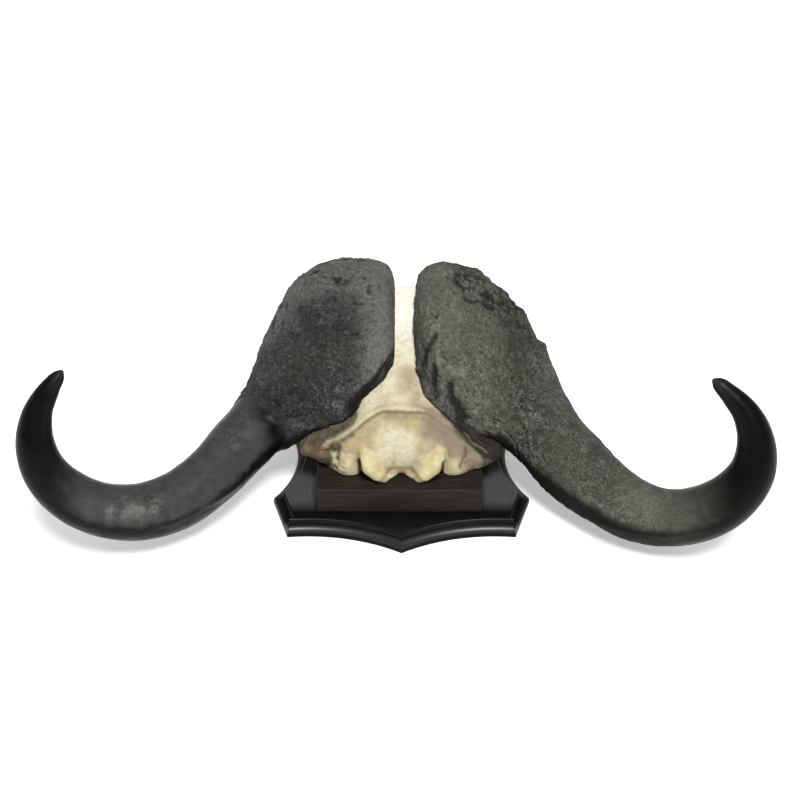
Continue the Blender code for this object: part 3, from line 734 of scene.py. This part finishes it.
def surface_net(field, origin, step):
    """Quads of the field's zero surface: a point in each crossed cell, a quad on each crossed edge."""
    shape = np.array(field.shape) - 1
    total = np.zeros((*shape, 3))
    count = np.zeros(shape)
    crossings = []
    for axis in range(3):
        low, high = (field.take(np.arange(shape[axis]) + shift, axis) for shift in (0, 1))
        solid = low < 0
        crossed = solid != (high < 0)
        where = np.stack(np.indices(low.shape), -1).astype(float)
        where[..., axis] += np.where(crossed, low / np.where(crossed, low - high, 1), 0)
        where *= crossed[..., None]
        for offset in product((0, 1), repeat=2):
            window = tuple(slice(o, o + n) for o, n in zip(np.insert(offset, axis, 0), shape))
            total += where[window]
            count += crossed[window]
        crossings.append((axis, crossed, solid))
    used = count > 0
    number = np.full(shape, -1)
    number[used] = np.arange(used.sum())
    points = origin + step * total[used] / count[used][:, None]
    faces = []
    for axis, crossed, solid in crossings:
        u, v = (axis + 1) % 3, (axis + 2) % 3
        spot = np.argwhere(crossed)
        spot = spot[(spot[:, u] > 0) & (spot[:, v] > 0)]
        around = np.zeros((4, 3), int)
        around[:, u], around[:, v] = (-1, 0, 0, -1), (-1, -1, 0, 0)
        quad = number[tuple(np.moveaxis(spot[:, None] + around, -1, 0))]
        back = ~solid[tuple(spot.T)]
        quad[back] = quad[back, ::-1]
        faces.append(quad)
    return points, np.concatenate(faces)


def point_normals(points, faces):
    """Averaged normals of quads at their points."""
    cross = np.cross(points[faces[:, 2]] - points[faces[:, 0]], points[faces[:, 3]] - points[faces[:, 1]])
    normals = np.zeros_like(points)
    for k in range(4):
        np.add.at(normals, faces[:, k], cross)
    return normals / np.maximum(np.linalg.norm(normals, axis=1), 1e-9)[:, None]


# The bone's marks, laid out as the camera sees it from behind: across, and up the face.
CREST_LINE = (
    (-88, 28), (-77, 33), (-67, 40), (-58, 46), (-50, 53), (-41, 60), (-32, 66), (-24, 69), (-12, 69),
    (11, 68), (24, 68), (33, 67), (42, 62), (51, 56), (63, 46), (74, 35), (85, 25),
)
BRIGHT_RIDGE = ((-54, 57), (-63, 48), (-72, 40), (-82, 35), (-93, 31), (-103, 26))
GLOOM_EDGE = ((46, 73), (50, 67), (60, 57.5), (73, 44), (89, 27), (106, 10), (120, 3))
BONE_GROOVES = (
    ((81, 25), (85, 18), (85, 13), (81, 7), (78, -1), (77, -10)),
    ((-81, 26), (-84, 20), (-82, 12), (-84, 4)), ((-56, 16), (-55, 4), (-53, -6)),
    ((82, 46), (96, 33), (107, 24), (119, 16)),
)
STRIPES = ((78, 44), (86, 37), (96, 27), (107, 20), (115, 13))
BRIGHT_SPOTS = (
    (-67, -11, 7), (-58, -7, 6), (-75, -6, 5), (60, -10, 7), (69, -10, 6), (66, -3, 7), (-67, 0, 8),
    (-16, -17, 5), (11, -17, 4), (17, -22, 4), (60, -6, 8), (68, -5, 8), (64, 2, 6), (-65, -15, 5),
    (-38, 71, 6), (-46, 65, 6), (-54, 58, 5),
)
BRIGHT_EDGE = ((-92, 19), (-90, 13), (-87, 4), (-82, -3), (-75, -8))
# Brown stains; along the horns' lower edges they are the brown horn core in painted shade.
BROWN_STAINS_AND_SHADE = (
    (-68, 55, 6), (-77, 48, 7), (-88, 43, 8), (-99, 38, 8), (-111, 33, 8), (-122, 27, 8), (-133, 22, 8),
    (-125, 16, 6), (-113, 21, 6), (-67, 40, 5), (-76, 34, 5), (-86, 27, 5), (-95, 8, 5), (-82, 22, 5),
    (-97, 17, 6), (-99, 2, 6), (-105, 7, 6), (-90, 22, 5), (-85, 8, 3), (-64, 68, 6), (-66, 61, 7),
    (-73, 53, 7), (-82, 50, 6), (84, 46, 5), (92, 42, 7), (99, 37, 7), (109, 29, 8), (120, 20, 9),
    (126, 13, 8), (115, 12, 8), (105, 20, 6),
)
PINK_STAINS = (
    (12, 117, 9), (3, 121, 7), (20, 91, 7), (17, 82, 8), (30, 74, 9), (41, 68, 9), (51, 60, 9), (61, 52, 9),
    (72, 44, 9), (3, 101, 10), (14, 104, 8), (58, 58, 8), (68, 52, 8), (47, 66, 7), (80, 42, 8),
)
MAUVE_STAINS = (
    (37, 61, 11), (47, 51, 12), (47, 38, 14), (60, 33, 12), (70, 38, 10), (77, 27, 11), (69, 20, 9),
    (86, 18, 11), (96, 9, 11), (97, 0, 7), (89, 3, 7), (59, 24, 7), (34, 44, 8), (58, 46, 9), (66, 12, 6),
)
TAN_STAINS = (
    (-47, 43, 10), (-56, 33, 10), (-68, 31, 8), (-38, 53, 9), (-71, 21, 7), (24, 54, 8), (27, 40, 7),
    (-44, 26, 7), (0, 61, 9), (12, 60, 8), (-14, 60, 8), (26, 22, 6),
)
RUST_STAINS = ((-110, 13, 5), (-125, 21, 5), (-85, 25, 3), (-103, 17, 4))
PALE_AREAS = ((-2, 26, 16), (-12, 33, 13), (8, 13, 13), (-7, 46, 10), (-21, 13, 8), (14, 29, 10))
UNDER_CREST = ((-22, 64), (-12, 65), (11, 64), (23, 63))
BAND_EDGE = ((-130, 15), (-103, 26), (-54, 57), (-24, 69), (24, 69), (85, 27), (130, -8))
# The foramen's band of painted shade is its middle, half width, low edge and high edge.
FORAMEN_BAND = (-2.6, 20, -12.6, -1.6)
# How far up the face a point lies, by its y and its z: the sine and cosine of the camera's angle.
FACE_UP = (0.574, 0.819)
PORE_REACH = 0.38


def above_line(x, height, line):
    """How far a height lies above a line that runs from left to right."""
    return height - np.interp(x, *np.transpose(line))


def bone_relief(points):
    """Height of the bone's fine relief and its masks."""
    x, y, z = points.T
    true_face = np.stack([x, np.dot(points[:, 1:], FACE_UP)], 1)
    face = true_face + 1.5 * fractal(points, 14, 2, 47)[:, None]
    height_up = face[:, 1]
    back = smooth(-y, 22, 48)
    condyle = np.minimum(tube_field(points, CONDYLE), tube_field(points, mirrored(CONDYLE)))
    waxy = 1 - smooth(condyle + 1.2 * waves(points, 9, 48), -0.5, 3)
    dry = 1 - waxy
    hollows = [ball_field(points, form) for form in (NOTCH, opposite(NOTCH), SLOT_LEFT, SLOT_RIGHT)]
    # Painted shade inside the notches and slots, where the relief is also flattened.
    hollow_shade = 1 - smooth(np.min(hollows, axis=0), 0.2, 1.6)
    # The crest line, carved and painted dark as the thin shadow under the crest's lip.
    crest = furrow(face, CREST_LINE, 2.6, 0.04) * back * (1 - 0.6 * smooth(x, 30, 50))
    over = smooth(above_line(x, height_up, BAND_EDGE), 0, 4)
    left_band = smooth(-x, 59, 64) * (1 - 0.2 * smooth(-x, 80, 105))
    # The band under the horns' rims: brown horn core, darkened further as painted shade of the horns.
    band = over * (left_band + smooth(x, 62, 80)) * back
    band = np.maximum(band, 0.8 * smooth(np.abs(x), 98, 116) * back)
    gloom = smooth(above_line(x, height_up, GLOOM_EDGE), -3, 4) * smooth(x, 44, 52) * back
    middle, half, low, high = FORAMEN_BAND
    u, v = (true_face + 0.5 * fractal(points, 5, 2, 46)[:, None]).T
    # Painted shade in the recess above the foramen.
    foramen_shade = smooth(v, low, low + 1) * (1 - smooth(v, high - 1, high))
    foramen_shade *= (1 - smooth(np.abs(u - middle), half - 1, half)) * back * (1 - 0.6 * waxy)
    under = furrow(face, UNDER_CREST, 5, 0.1)
    # Brown where stained and in the band; under the horns this brown is partly painted shade.
    brown = unit(1.4 * spots(face, BROWN_STAINS_AND_SHADE) + 1.6 * band + 0.22 * under) * back
    tan, mauve, pink = (1 - np.exp(-weight * spots(face, stains)) for weight, stains in
                        ((1.6, TAN_STAINS), (1.3, MAUVE_STAINS), (1.5, PINK_STAINS)))
    mauve *= back
    pale = marks(face, PALE_AREAS) * back
    bright = unit(spots(face, BRIGHT_SPOTS) + 0.8 * furrow(face, BRIGHT_EDGE, 1.6)) * back
    ridge = furrow(face, BRIGHT_RIDGE, 3.4, 0.1) * back * smooth(x, -106, -66)
    stripes = furrow(face, STRIPES, 1.7) * back
    grooves = sum(furrow(face, line, 1.6) for line in BONE_GROOVES) * back
    above = np.maximum(over, 1 - back)
    wing = smooth(np.abs(x), 58, 80) * back * (1 - 0.6 * over)
    rugged = unit(0.7 * brown + 0.4 * mauve + wing + 0.5 * smooth(y, 90, 150))
    rugged *= dry * (1 - 0.7 * pale) * (1 - 0.6 * band)
    near, _ = cells(points, 5, 41)
    pores = unit(PORE_REACH - near) / PORE_REACH * smooth(waves(points, 26, 49), -0.2, 0.4)
    fibres = waves(points * (0.3, 1, 1), 4, 50)
    ragged = smooth(-x, 82, 98) * back * dry
    height = 0.45 * fractal(points, 11, 3, 40) * dry
    height += (1.3 * rugged + 0.9 * ragged) * fractal(points, 12, 3, 44, 0.65)
    height += 0.6 * fibres * band - 0.9 * pores * unit(rugged + 0.3) * dry
    height += -0.8 * crest - 2 * grooves + 1.2 * ridge + 0.9 * stripes + 0.8 * bright * wing
    height *= smooth(z, CUT_Z, CUT_Z + 5) * (1 - hollow_shade)
    masks = {
        "waxy": waxy * (1 - hollow_shade),
        "dark_and_shadow_line": unit(crest + grooves + 0.7 * band * smooth(fibres, 0.1, -0.4)) * (1 - 0.7 * ridge),
        "brown": brown * dry * (1 - 0.7 * ridge) * (1 - 0.2 * stripes),
        "mauve": mauve * dry,
        "tan": tan * back * dry,
        "gloom": gloom * (1 - 0.75 * unit(stripes)),
        "rust": marks(face, RUST_STAINS) * back,
        "pink": pink * above,
        "pale": pale,
        "bright": unit(0.4 * ridge + bright),
        "above": above,
        "white": smooth(y, -30, 70),
        "foramen_shade": foramen_shade,
        "hollow_shade": hollow_shade,
        "pore": pores * unit(rugged + 0.25) * dry,
    }
    return height, masks


def skull(surface):
    """The finished bone cap, drawn as the zero surface of its blended masses."""
    low, high = np.array(BONE_LOW), np.array(BONE_HIGH)
    counts = np.ceil((high - low) / BONE_STEP).astype(int) + 1
    axes = [low[k] + BONE_STEP * np.arange(counts[k]) for k in range(3)]
    field = np.empty(tuple(counts), np.float32)
    for i, x in enumerate(axes[0]):
        space = np.stack(np.meshgrid([x], axes[1], axes[2], indexing="ij"), -1)
        field[i] = bone_field(space)[0]
    points, faces = surface_net(field, low, BONE_STEP)
    height, masks = bone_relief(points)
    points = points + point_normals(points, faces) * height[:, None]
    mesh = mesh_of("skull_cap_bone", points, faces, masks)
    finish_piece("skull_cap_bone", mesh, surface, "skull_cap", "bone")


# The board's edge: a point is its inset and height, a round is those, its width, rise and steps.
EDGE_FOOT = ((0.5, 0), (0.1, 0.15), (0, 0.6), (0, 5))
LOWER_ROUND = (0, 5, 8.8, 8.5, 14)
EDGE_FLAT = ((10.1, 13.5), (10.5, 13.35), (10.6, 13.6))
UPPER_ROUND = (10.6, 13.6, 3.6, 6.4, 10)

BLOCK_BEVEL = 1.6
BLOCK_STEP = 6
DENT_START = 0.15
DENT_DEPTH = 0.5


def bowed(start, end, bow, count):
    """Points from start to just before end on an arc that bows to the left of the way."""
    start, end = Vector(start), Vector(end)
    chord = end - start
    left = Vector((-chord.y, chord.x)).normalized()
    radius = (chord.length_squared / 4 + bow * bow) / (2 * bow)
    centre = (start + end) / 2 + left * (bow - radius)
    half = math.asin(chord.length / 2 / radius)
    points = []
    for k in range(count):
        angle = half - 2 * half * k / count
        across = chord.normalized() * math.sin(angle)
        points.append(centre + radius * (left * math.cos(angle) - across))
    return points


def shield_outline():
    """The plaque's outline, anticlockwise from its lower tip."""
    tip, top = (0, PLAQUE_TIP_Y), (0, PLAQUE_TOP_Y)
    right = bowed(tip, LOWER_CORNER, LOWER_BOW, ARC_SIDES)
    right += [Vector(LOWER_CORNER)]
    right += bowed(SHOULDER_LOW, SHOULDER_HIGH, WAIST_BOW, ARC_SIDES)
    right += [Vector(SHOULDER_HIGH)]
    right += bowed(UPPER_CORNER, top, UPPER_BOW, ARC_SIDES)
    left = [Vector((-point.x, point.y)) for point in reversed(right[1:])]
    return right + [Vector(top)] + left


def inset(outline, distance):
    """The outline moved inwards by a distance, its corners mitred."""
    moved = []
    for i, point in enumerate(outline):
        before = (point - outline[i - 1]).normalized()
        after = (outline[(i + 1) % len(outline)] - point).normalized()
        inward = Vector((-before.y - after.y, before.x + after.x)).normalized()
        slant = inward.dot(Vector((-after.y, after.x)))
        moved.append(point + inward * distance / slant)
    return moved


def quarter_round(inset_at, height, width, rise, steps):
    """The edge's profile along a quarter round, after its first point."""
    angles = [math.pi / 2 * k / steps for k in range(1, steps + 1)]
    return [(inset_at + width - width * math.cos(angle), height + rise * math.sin(angle)) for angle in angles]


def plaque(surface):
    """The shield-shaped board with its moulded edge."""
    outline = shield_outline()
    profile = [*EDGE_FOOT, *quarter_round(*LOWER_ROUND), *EDGE_FLAT, *quarter_round(*UPPER_ROUND)]
    rings = [np.array([(p.x, p.y, height) for p in inset(outline, depth)]) for depth, height in profile]
    faces = grid_faces(len(rings), len(outline), False)
    mesh = mesh_of("shield_plaque_board", np.concatenate(rings), faces)
    bm = bmesh.new()
    bm.from_mesh(mesh)
    bmesh.ops.recalc_face_normals(bm, faces=bm.faces)
    bm.to_mesh(mesh)
    bm.free()
    mesh.shade_smooth()
    mesh.set_sharp_from_angle(angle=math.radians(25))
    finish_piece("shield_plaque_board", mesh, surface, "shield_plaque", "black_wood")


def block(surface):
    """The wooden block, its arrises eased and slightly knocked."""
    low, high = Vector(BLOCK_LOW) * MM, Vector(BLOCK_HIGH) * MM
    bm = bmesh.new()
    bmesh.ops.create_cube(bm, size=1)
    bmesh.ops.scale(bm, vec=high - low, verts=bm.verts)
    bmesh.ops.translate(bm, vec=(low + high) / 2, verts=bm.verts)
    bmesh.ops.bevel(bm, geom=bm.edges[:], offset=BLOCK_BEVEL * MM, segments=4, profile=0.5, affect="EDGES")
    for axis in range(3):
        count = round((high - low)[axis] / MM / BLOCK_STEP)
        for k in range(1, count):
            place, normal = Vector(), Vector()
            place[axis] = low[axis] + (high - low)[axis] * k / count
            normal[axis] = 1
            bmesh.ops.bisect_plane(bm, geom=bm.verts[:] + bm.edges[:] + bm.faces[:], plane_co=place,
                                   plane_no=normal)
    bm.normal_update()
    points = np.array([v.co[:] for v in bm.verts]) / MM
    dents = fractal(points * (0.35, 1, 1), 16, 3, 60)
    for vert, dent in zip(bm.verts, dents):
        vert.co += vert.normal * min(0, dent - DENT_START) * DENT_DEPTH * MM
    mesh = bpy.data.meshes.new("mounting_block_wood")
    bm.to_mesh(mesh)
    bm.free()
    mesh.shade_smooth()
    mesh.set_sharp_from_angle(angle=math.radians(40))
    finish_piece("mounting_block_wood", mesh, surface, "mounting_block", "brown_wood")


# A horn's colours: its dark, mid and light tones, its tint and the near black of its rim and painted shadow.
GREY_HORN = (
    (0.013, 0.013, 0.0125), (0.057, 0.058, 0.054), (0.19, 0.191, 0.177), (0.034, 0.034, 0.028),
    (0.005, 0.004, 0.004),
)
BROWN_HORN = (
    (0.015, 0.0148, 0.012), (0.076, 0.074, 0.062), (0.255, 0.249, 0.212), (0.058, 0.052, 0.036),
    (0.005, 0.004, 0.0035),
)
# Near black: the bare horn of the tips, also used as painted shade on the undersides and past the boss's lip.
BARE_AND_SHADED_HORN = (0.0018, 0.0018, 0.0017)

# Where the board carries its painted sheen and where it is glossy, in metres.
PAINTED_SHEEN_ACROSS = (0.095, 0.114)
PAINTED_SHEEN_ALONG = (0.137, 0.112)
TOP_FACE = (0.0199, 0.01999)
WAIST_ALONG = (0.1, 0.088)
WAIST_HEIGHT = (0.0075, 0.0125)
GLOSS_HEIGHT = (0.0055, 0.0085)
GLOSS_TOP = (0.0134, 0.014)
GLOSS_ALONG = (0.146, 0.156)


class Paint:
    """A material's node tree, with a short method for each kind of node."""

    def __init__(self, name):
        self.surface = bpy.data.materials.new(name)
        self.surface.use_nodes = True
        self.tree = self.surface.node_tree
        self.place = self.add("ShaderNodeTexCoord").outputs["Object"]

    def put(self, node, inputs):
        """Set each of a node's inputs to a value, or link it to another node's output."""
        for key, value in inputs.items():
            if isinstance(value, bpy.types.NodeSocket):
                self.tree.links.new(value, node.inputs[key])
            elif isinstance(value, tuple) and node.inputs[key].type == "RGBA":
                node.inputs[key].default_value = (*value, 1)
            else:
                node.inputs[key].default_value = value

    def add(self, kind, inputs=None, **settings):
        """A node with its settings and inputs."""
        node = self.tree.nodes.new(kind)
        for key, value in settings.items():
            setattr(node, key, value)
        self.put(node, inputs or {})
        return node

    def dress(self, inputs):
        """The finished material, with these inputs of its shader."""
        self.put(self.tree.nodes["Principled BSDF"], inputs)
        return self.surface

    def clouds(self, size, detail=4, rough=0.55, warp=0, scale=None):
        """A noise texture whose lumps are about size millimetres, along each axis by its scale."""
        place = self.place
        if scale:
            place = self.add("ShaderNodeMapping", {"Vector": place, "Scale": scale}).outputs["Vector"]
        return self.add("ShaderNodeTexNoise", {
            "Vector": place, "Scale": 1000 / size, "Detail": detail, "Roughness": rough,
            "Distortion": warp}).outputs["Fac"]

    def mask(self, name):
        """A float attribute of the mesh."""
        return self.add("ShaderNodeAttribute", attribute_name=name).outputs["Fac"]

    def reckon(self, operation, a, b=0):
        """One sum on values or outputs."""
        return self.add("ShaderNodeMath", {0: a, 1: b}, operation=operation).outputs["Value"]

    def times(self, a, b):
        """The product of two values or outputs."""
        return self.reckon("MULTIPLY", a, b)

    def spread(self, value, low, high, out_low=0, out_high=1):
        """The value taken from one range to another and kept within it."""
        return self.add("ShaderNodeMapRange", {"Value": value, "From Min": low, "From Max": high,
                                               "To Min": out_low, "To Max": out_high}).outputs["Result"]

    def mix(self, share, a, b):
        """Two colours blended."""
        return self.add("ShaderNodeMix", {0: share, 6: a, 7: b}, data_type="RGBA").outputs[2]

    def coats(self, tone, *coats):
        """The tone under coats, each a share and a colour."""
        for share, colour in coats:
            tone = self.mix(share, tone, colour)
        return tone

    def bump(self, height, distance, strength=1, under=None):
        """A bump of the given depth in millimetres."""
        inputs = {"Height": height, "Distance": distance * MM, "Strength": strength}
        if under is not None:
            inputs["Normal"] = under
        return self.add("ShaderNodeBump", inputs).outputs["Normal"]


def horn_surface(name, dark, mid, light, tint, rim_and_shadow_colour):
    """Horn: granular and dusty where it is rough, dark and satin where it is bare, with painted shade and
    glints.
    """
    paint = Paint(name)
    clouds, spread, times = paint.clouds, paint.spread, paint.times
    rough, pit, rim_and_shadow, pale, dust_and_underside_shade, shade, even = (
        paint.mask(key) for key in ("rough", "pit", "rim_and_shadow", "pale", "dust_and_underside_shade", "shade", "even"))
    speckle = clouds(5, 7, 0.8, 0.3)
    fine = clouds(2.6, 4, 0.75)
    mottle = clouds(11, 5, 0.65)
    blotch = clouds(34, 5, 0.6)
    patches = clouds(75)
    # The rough horn's tone, which also carries the painted glints.
    worn_and_glints = paint.coats(
        dark,
        (spread(speckle, 0.44, 0.55), mid),
        (spread(mottle, 0.5, 0.64, 0, 0.55), light),
        (spread(fine, 0.52, 0.62, 0, 0.85), light),
        (spread(fine, 0.48, 0.38, 0, 0.7), dark),
        (spread(patches, 0.48, 0.64, 0, 0.6), tint),
        (spread(blotch, 0.5, 0.68, 0, 0.6), dark),
        # Paler where the pale mask holds: worn horn, painted light and painted highlights.
        (times(pale, spread(speckle, 0.42, 0.58, 0.45, 1)), light),
        (even, tuple(1.1 * c for c in mid)))
    sleek = paint.mix(spread(mottle, 0.4, 0.66), tuple(0.6 * c for c in mid), tuple(0.88 * c for c in mid))
    tone = paint.coats(
        paint.mix(rough, sleek, worn_and_glints),
        # Painted shade: near black on the undersides, where this mask is low.
        (spread(dust_and_underside_shade, 0, 1, 0.94, 0), BARE_AND_SHADED_HORN),
        (shade, BARE_AND_SHADED_HORN),
        (times(pit, 0.85), (0.005, 0.005, 0.0045)),
        # The dark rim line and the painted shadow under the rim.
        (times(rim_and_shadow, 0.88), rim_and_shadow_colour))
    grains = paint.reckon("ADD", speckle, times(fine, 0.5))
    coarse = paint.bump(grains, 3, spread(rough, 0, 1, 0.12, 1))
    scratch = clouds(2.6, 4, 0.6, scale=(0.25, 0.5, 1))
    gloss = paint.reckon("ADD", spread(rough, 0, 1, 0.36, 0.62), spread(blotch, 0.3, 0.7, -0.05, 0.08))
    return paint.dress({
        "Base Color": tone,
        "Roughness": gloss,
        "Specular IOR Level": 0.09,
        "Normal": paint.bump(scratch, 0.3, 0.5, coarse),
    })


def bone_surface():
    """Dry bone: cream, stained in its scars, waxy on the condyles, painted with shade in hollows and under
    the horns.
    """
    paint = Paint("bone")
    mask, clouds, spread, times = paint.mask, paint.clouds, paint.spread, paint.times
    waxy = mask("waxy")
    blotch = clouds(24, 5, 0.62)
    patch = clouds(9, 5, 0.65)
    speckle = clouds(3.4, 6, 0.7)
    fine = clouds(1.6, 3, 0.6)
    low = paint.mix(spread(blotch, 0.38, 0.64), (0.54, 0.49, 0.31), (0.37, 0.3, 0.175))
    low = paint.mix(spread(patch, 0.46, 0.66, 0, 0.6), low, (0.29, 0.23, 0.125))
    high = paint.mix(spread(blotch, 0.42, 0.68), (0.7, 0.66, 0.47), (0.52, 0.45, 0.29))
    high = paint.mix(times(mask("white"), 0.95), high, (0.93, 0.92, 0.78))
    # Near-black brown: the stains' colour and painted shade under the horns.
    soil_and_shade = paint.mix(spread(speckle, 0.42, 0.62), (0.04, 0.032, 0.019), (0.098, 0.082, 0.049))
    glow = paint.mix(spread(blotch, 0.4, 0.62), (0.535, 0.48, 0.27), (0.42, 0.355, 0.16))

    def patchy(name, least, most):
        return times(mask(name), spread(patch, 0.34, 0.6, least, most))

    tone = paint.coats(
        paint.mix(mask("above"), low, high),
        (times(mask("pale"), spread(patch, 0.3, 0.62, 0.9, 0.5)), (0.61, 0.58, 0.44)),
        (spread(speckle, 0.5, 0.72, 0, 0.5), (0.27, 0.21, 0.125)),
        (patchy("pink", 0.55, 0.95), (0.33, 0.25, 0.17)),
        (patchy("tan", 0.65, 1), (0.34, 0.27, 0.14)),
        (patchy("mauve", 0.9, 1), (0.195, 0.15, 0.106)),
        (patchy("brown", 0.9, 1), soil_and_shade),
        (times(mask("rust"), 0.6), (0.22, 0.125, 0.045)),
        (times(mask("bright"), 0.7), (0.68, 0.61, 0.37)),
        (times(mask("pore"), 0.7), (0.1, 0.07, 0.04)),
        # Painted shadow along the crest, with the dark grooves and the band's dark fibres.
        (times(mask("dark_and_shadow_line"), 0.8), (0.11, 0.08, 0.045)),
        (times(waxy, 0.85), glow),
        # Painted shade in the recess above the foramen.
        (times(mask("foramen_shade"), 0.85), (0.32, 0.26, 0.145)),
        (times(mask("gloom"), 0.96), (0.013, 0.0105, 0.007)),
        # Painted shade inside the notches and slots.
        (times(mask("hollow_shade"), 0.9), (0.02, 0.015, 0.009)))
    grains = paint.reckon("ADD", speckle, times(fine, 0.5))
    return paint.dress({
        "Base Color": tone,
        "Roughness": spread(waxy, 0, 1, 0.62, 0.34),
        "Specular IOR Level": 0.3,
        "Normal": paint.bump(grains, 1.6, spread(waxy, 0, 1, 0.8, 0.22)),
    })


def black_wood():
    """Black satin lacquer over wood, with a painted sheen of dark grey on the flats beside the block."""
    paint = Paint("black_wood")
    spread, times = paint.spread, paint.times
    grain = paint.clouds(9, 5, 0.6, 0.4, (6, 0.35, 6))
    parts = paint.add("ShaderNodeSeparateXYZ", {"Vector": paint.place}).outputs
    across = paint.reckon("ABSOLUTE", parts["X"])
    along = paint.reckon("ABSOLUTE", parts["Y"])
    height = parts["Z"]
    waist = times(spread(along, *WAIST_ALONG), spread(height, *WAIST_HEIGHT))
    # Painted sheen: the flats beside the block are lightened to dark grey.
    painted_sheen = times(spread(across, *PAINTED_SHEEN_ACROSS), spread(along, *PAINTED_SHEEN_ALONG))
    painted_sheen = times(painted_sheen, paint.reckon("MAXIMUM", spread(height, *TOP_FACE), waist))
    painted_sheen = times(painted_sheen, spread(grain, 0.35, 0.7, 0.75, 1))
    lacquer = paint.mix(spread(grain, 0.35, 0.7), (0.0025, 0.0025, 0.0024), (0.005, 0.005, 0.0047))
    gloss = times(spread(height, *GLOSS_HEIGHT), spread(height, *GLOSS_TOP, 1, 0.25))
    return paint.dress({
        "Base Color": paint.mix(painted_sheen, lacquer, (0.07, 0.072, 0.067)),
        "Roughness": spread(paint.clouds(60, 3), 0.3, 0.7, 0.34, 0.42),
        "Normal": paint.bump(grain, 0.08, 0.5),
        "Coat Weight": times(gloss, spread(along, *GLOSS_ALONG)),
        "Coat Roughness": 0.4,
        "Specular IOR Level": 0.06,
    })


def brown_wood():
    """Dark brown wood, its grain along the block's width."""
    paint = Paint("brown_wood")
    grain = paint.clouds(10, 6, 0.62, 0.6, (0.18, 3, 3))
    pores = paint.clouds(2.4, 3, 0.6, 0, (0.25, 4, 4))
    tone = paint.coats(
        paint.mix(paint.spread(grain, 0.36, 0.66), (0.006, 0.0048, 0.004), (0.023, 0.018, 0.0135)),
        (paint.spread(pores, 0.55, 0.68, 0, 0.6), (0.0045, 0.0038, 0.003)),
        (paint.spread(paint.clouds(45, 3), 0.45, 0.7, 0, 0.4), (0.018, 0.0135, 0.01)))
    return paint.dress({
        "Base Color": tone,
        "Roughness": paint.spread(grain, 0.3, 0.7, 0.68, 0.56),
        "Specular IOR Level": 0.2,
        "Normal": paint.bump(paint.reckon("ADD", grain, pores), 0.25, 0.6),
    })


# The studio: places and distances in metres, lens and sensor in millimetres, angles in degrees and
# azimuth 0 on the camera's side.
FLOOR_REACH = 6
FLOOR_DROP = -0.0008
FLOOR_GLOW = 0.36
SUN_AZIMUTH = 12
SUN_ELEVATION = 58
SUN_WIDTH = 18
SUN_STRENGTH = 3.5
SKY_STRENGTH = 0.42
CAMERA_TARGET = (-0.002, -0.024, 0.12)
CAMERA_ELEVATION = 35
CAMERA_DISTANCE = 2.8
CAMERA_LENS = 95
CAMERA_SENSOR = 36


def floor():
    """The plain pale floor on which the mount lies, glowing a little as a lit studio table does."""
    mesh = bpy.data.meshes.new("floor")
    a, z = FLOOR_REACH, FLOOR_DROP
    mesh.from_pydata([(-a, -a, z), (a, -a, z), (a, a, z), (-a, a, z)], [], [(0, 1, 2, 3)])
    mesh.materials.append(Paint("floor").dress({
        "Base Color": (0.92, 0.92, 0.92), "Roughness": 0.9,
        "Emission Color": (1, 1, 1), "Emission Strength": FLOOR_GLOW}))
    sheet = bpy.data.objects.new("floor", mesh)
    bpy.context.scene.collection.objects.link(sheet)


def sun():
    """A soft far light from above the camera's side."""
    data = bpy.data.lights.new("overhead", "SUN")
    data.angle = math.radians(SUN_WIDTH)
    data.energy = SUN_STRENGTH
    lamp = bpy.data.objects.new("overhead", data)
    azimuth, elevation = math.radians(SUN_AZIMUTH), math.radians(SUN_ELEVATION)
    from_there = Vector((math.sin(azimuth) * math.cos(elevation), -math.cos(azimuth) * math.cos(elevation),
                         math.sin(elevation)))
    lamp.rotation_euler = from_there.to_track_quat("Z", "Y").to_euler()
    bpy.context.scene.collection.objects.link(lamp)


def studio():
    """The light, the world and the camera at the photograph's angle."""
    sun()
    world = bpy.data.worlds.new("studio")
    world.use_nodes = True
    sky = world.node_tree.nodes["Background"]
    sky.inputs["Color"].default_value = (1, 1, 1, 1)
    sky.inputs["Strength"].default_value = SKY_STRENGTH
    bpy.context.scene.world = world
    bpy.context.scene.view_settings.view_transform = "Standard"
    data = bpy.data.cameras.new("camera")
    data.lens = CAMERA_LENS
    data.sensor_width = CAMERA_SENSOR
    camera = bpy.data.objects.new("camera", data)
    elevation = math.radians(CAMERA_ELEVATION)
    away = Vector((0, -math.cos(elevation), math.sin(elevation)))
    camera.location = Vector(CAMERA_TARGET) + CAMERA_DISTANCE * away
    camera.rotation_euler = (math.radians(90) - elevation, 0, 0)
    bpy.context.scene.collection.objects.link(camera)
    bpy.context.scene.camera = camera


def main():
    """Dress every solid and light it."""
    grey = horn_surface("horn_grey", *GREY_HORN)
    brown = horn_surface("horn_brown", *BROWN_HORN)
    horn("horn_left_sheath", LEFT_HORN, left_relief, grey, ("horn_left", "horn_grey"))
    horn("horn_right_sheath", RIGHT_HORN, right_relief, brown, ("horn_right", "horn_brown"))
    skull(bone_surface())
    plaque(black_wood())
    block(brown_wood())
    floor()
    studio()


main()
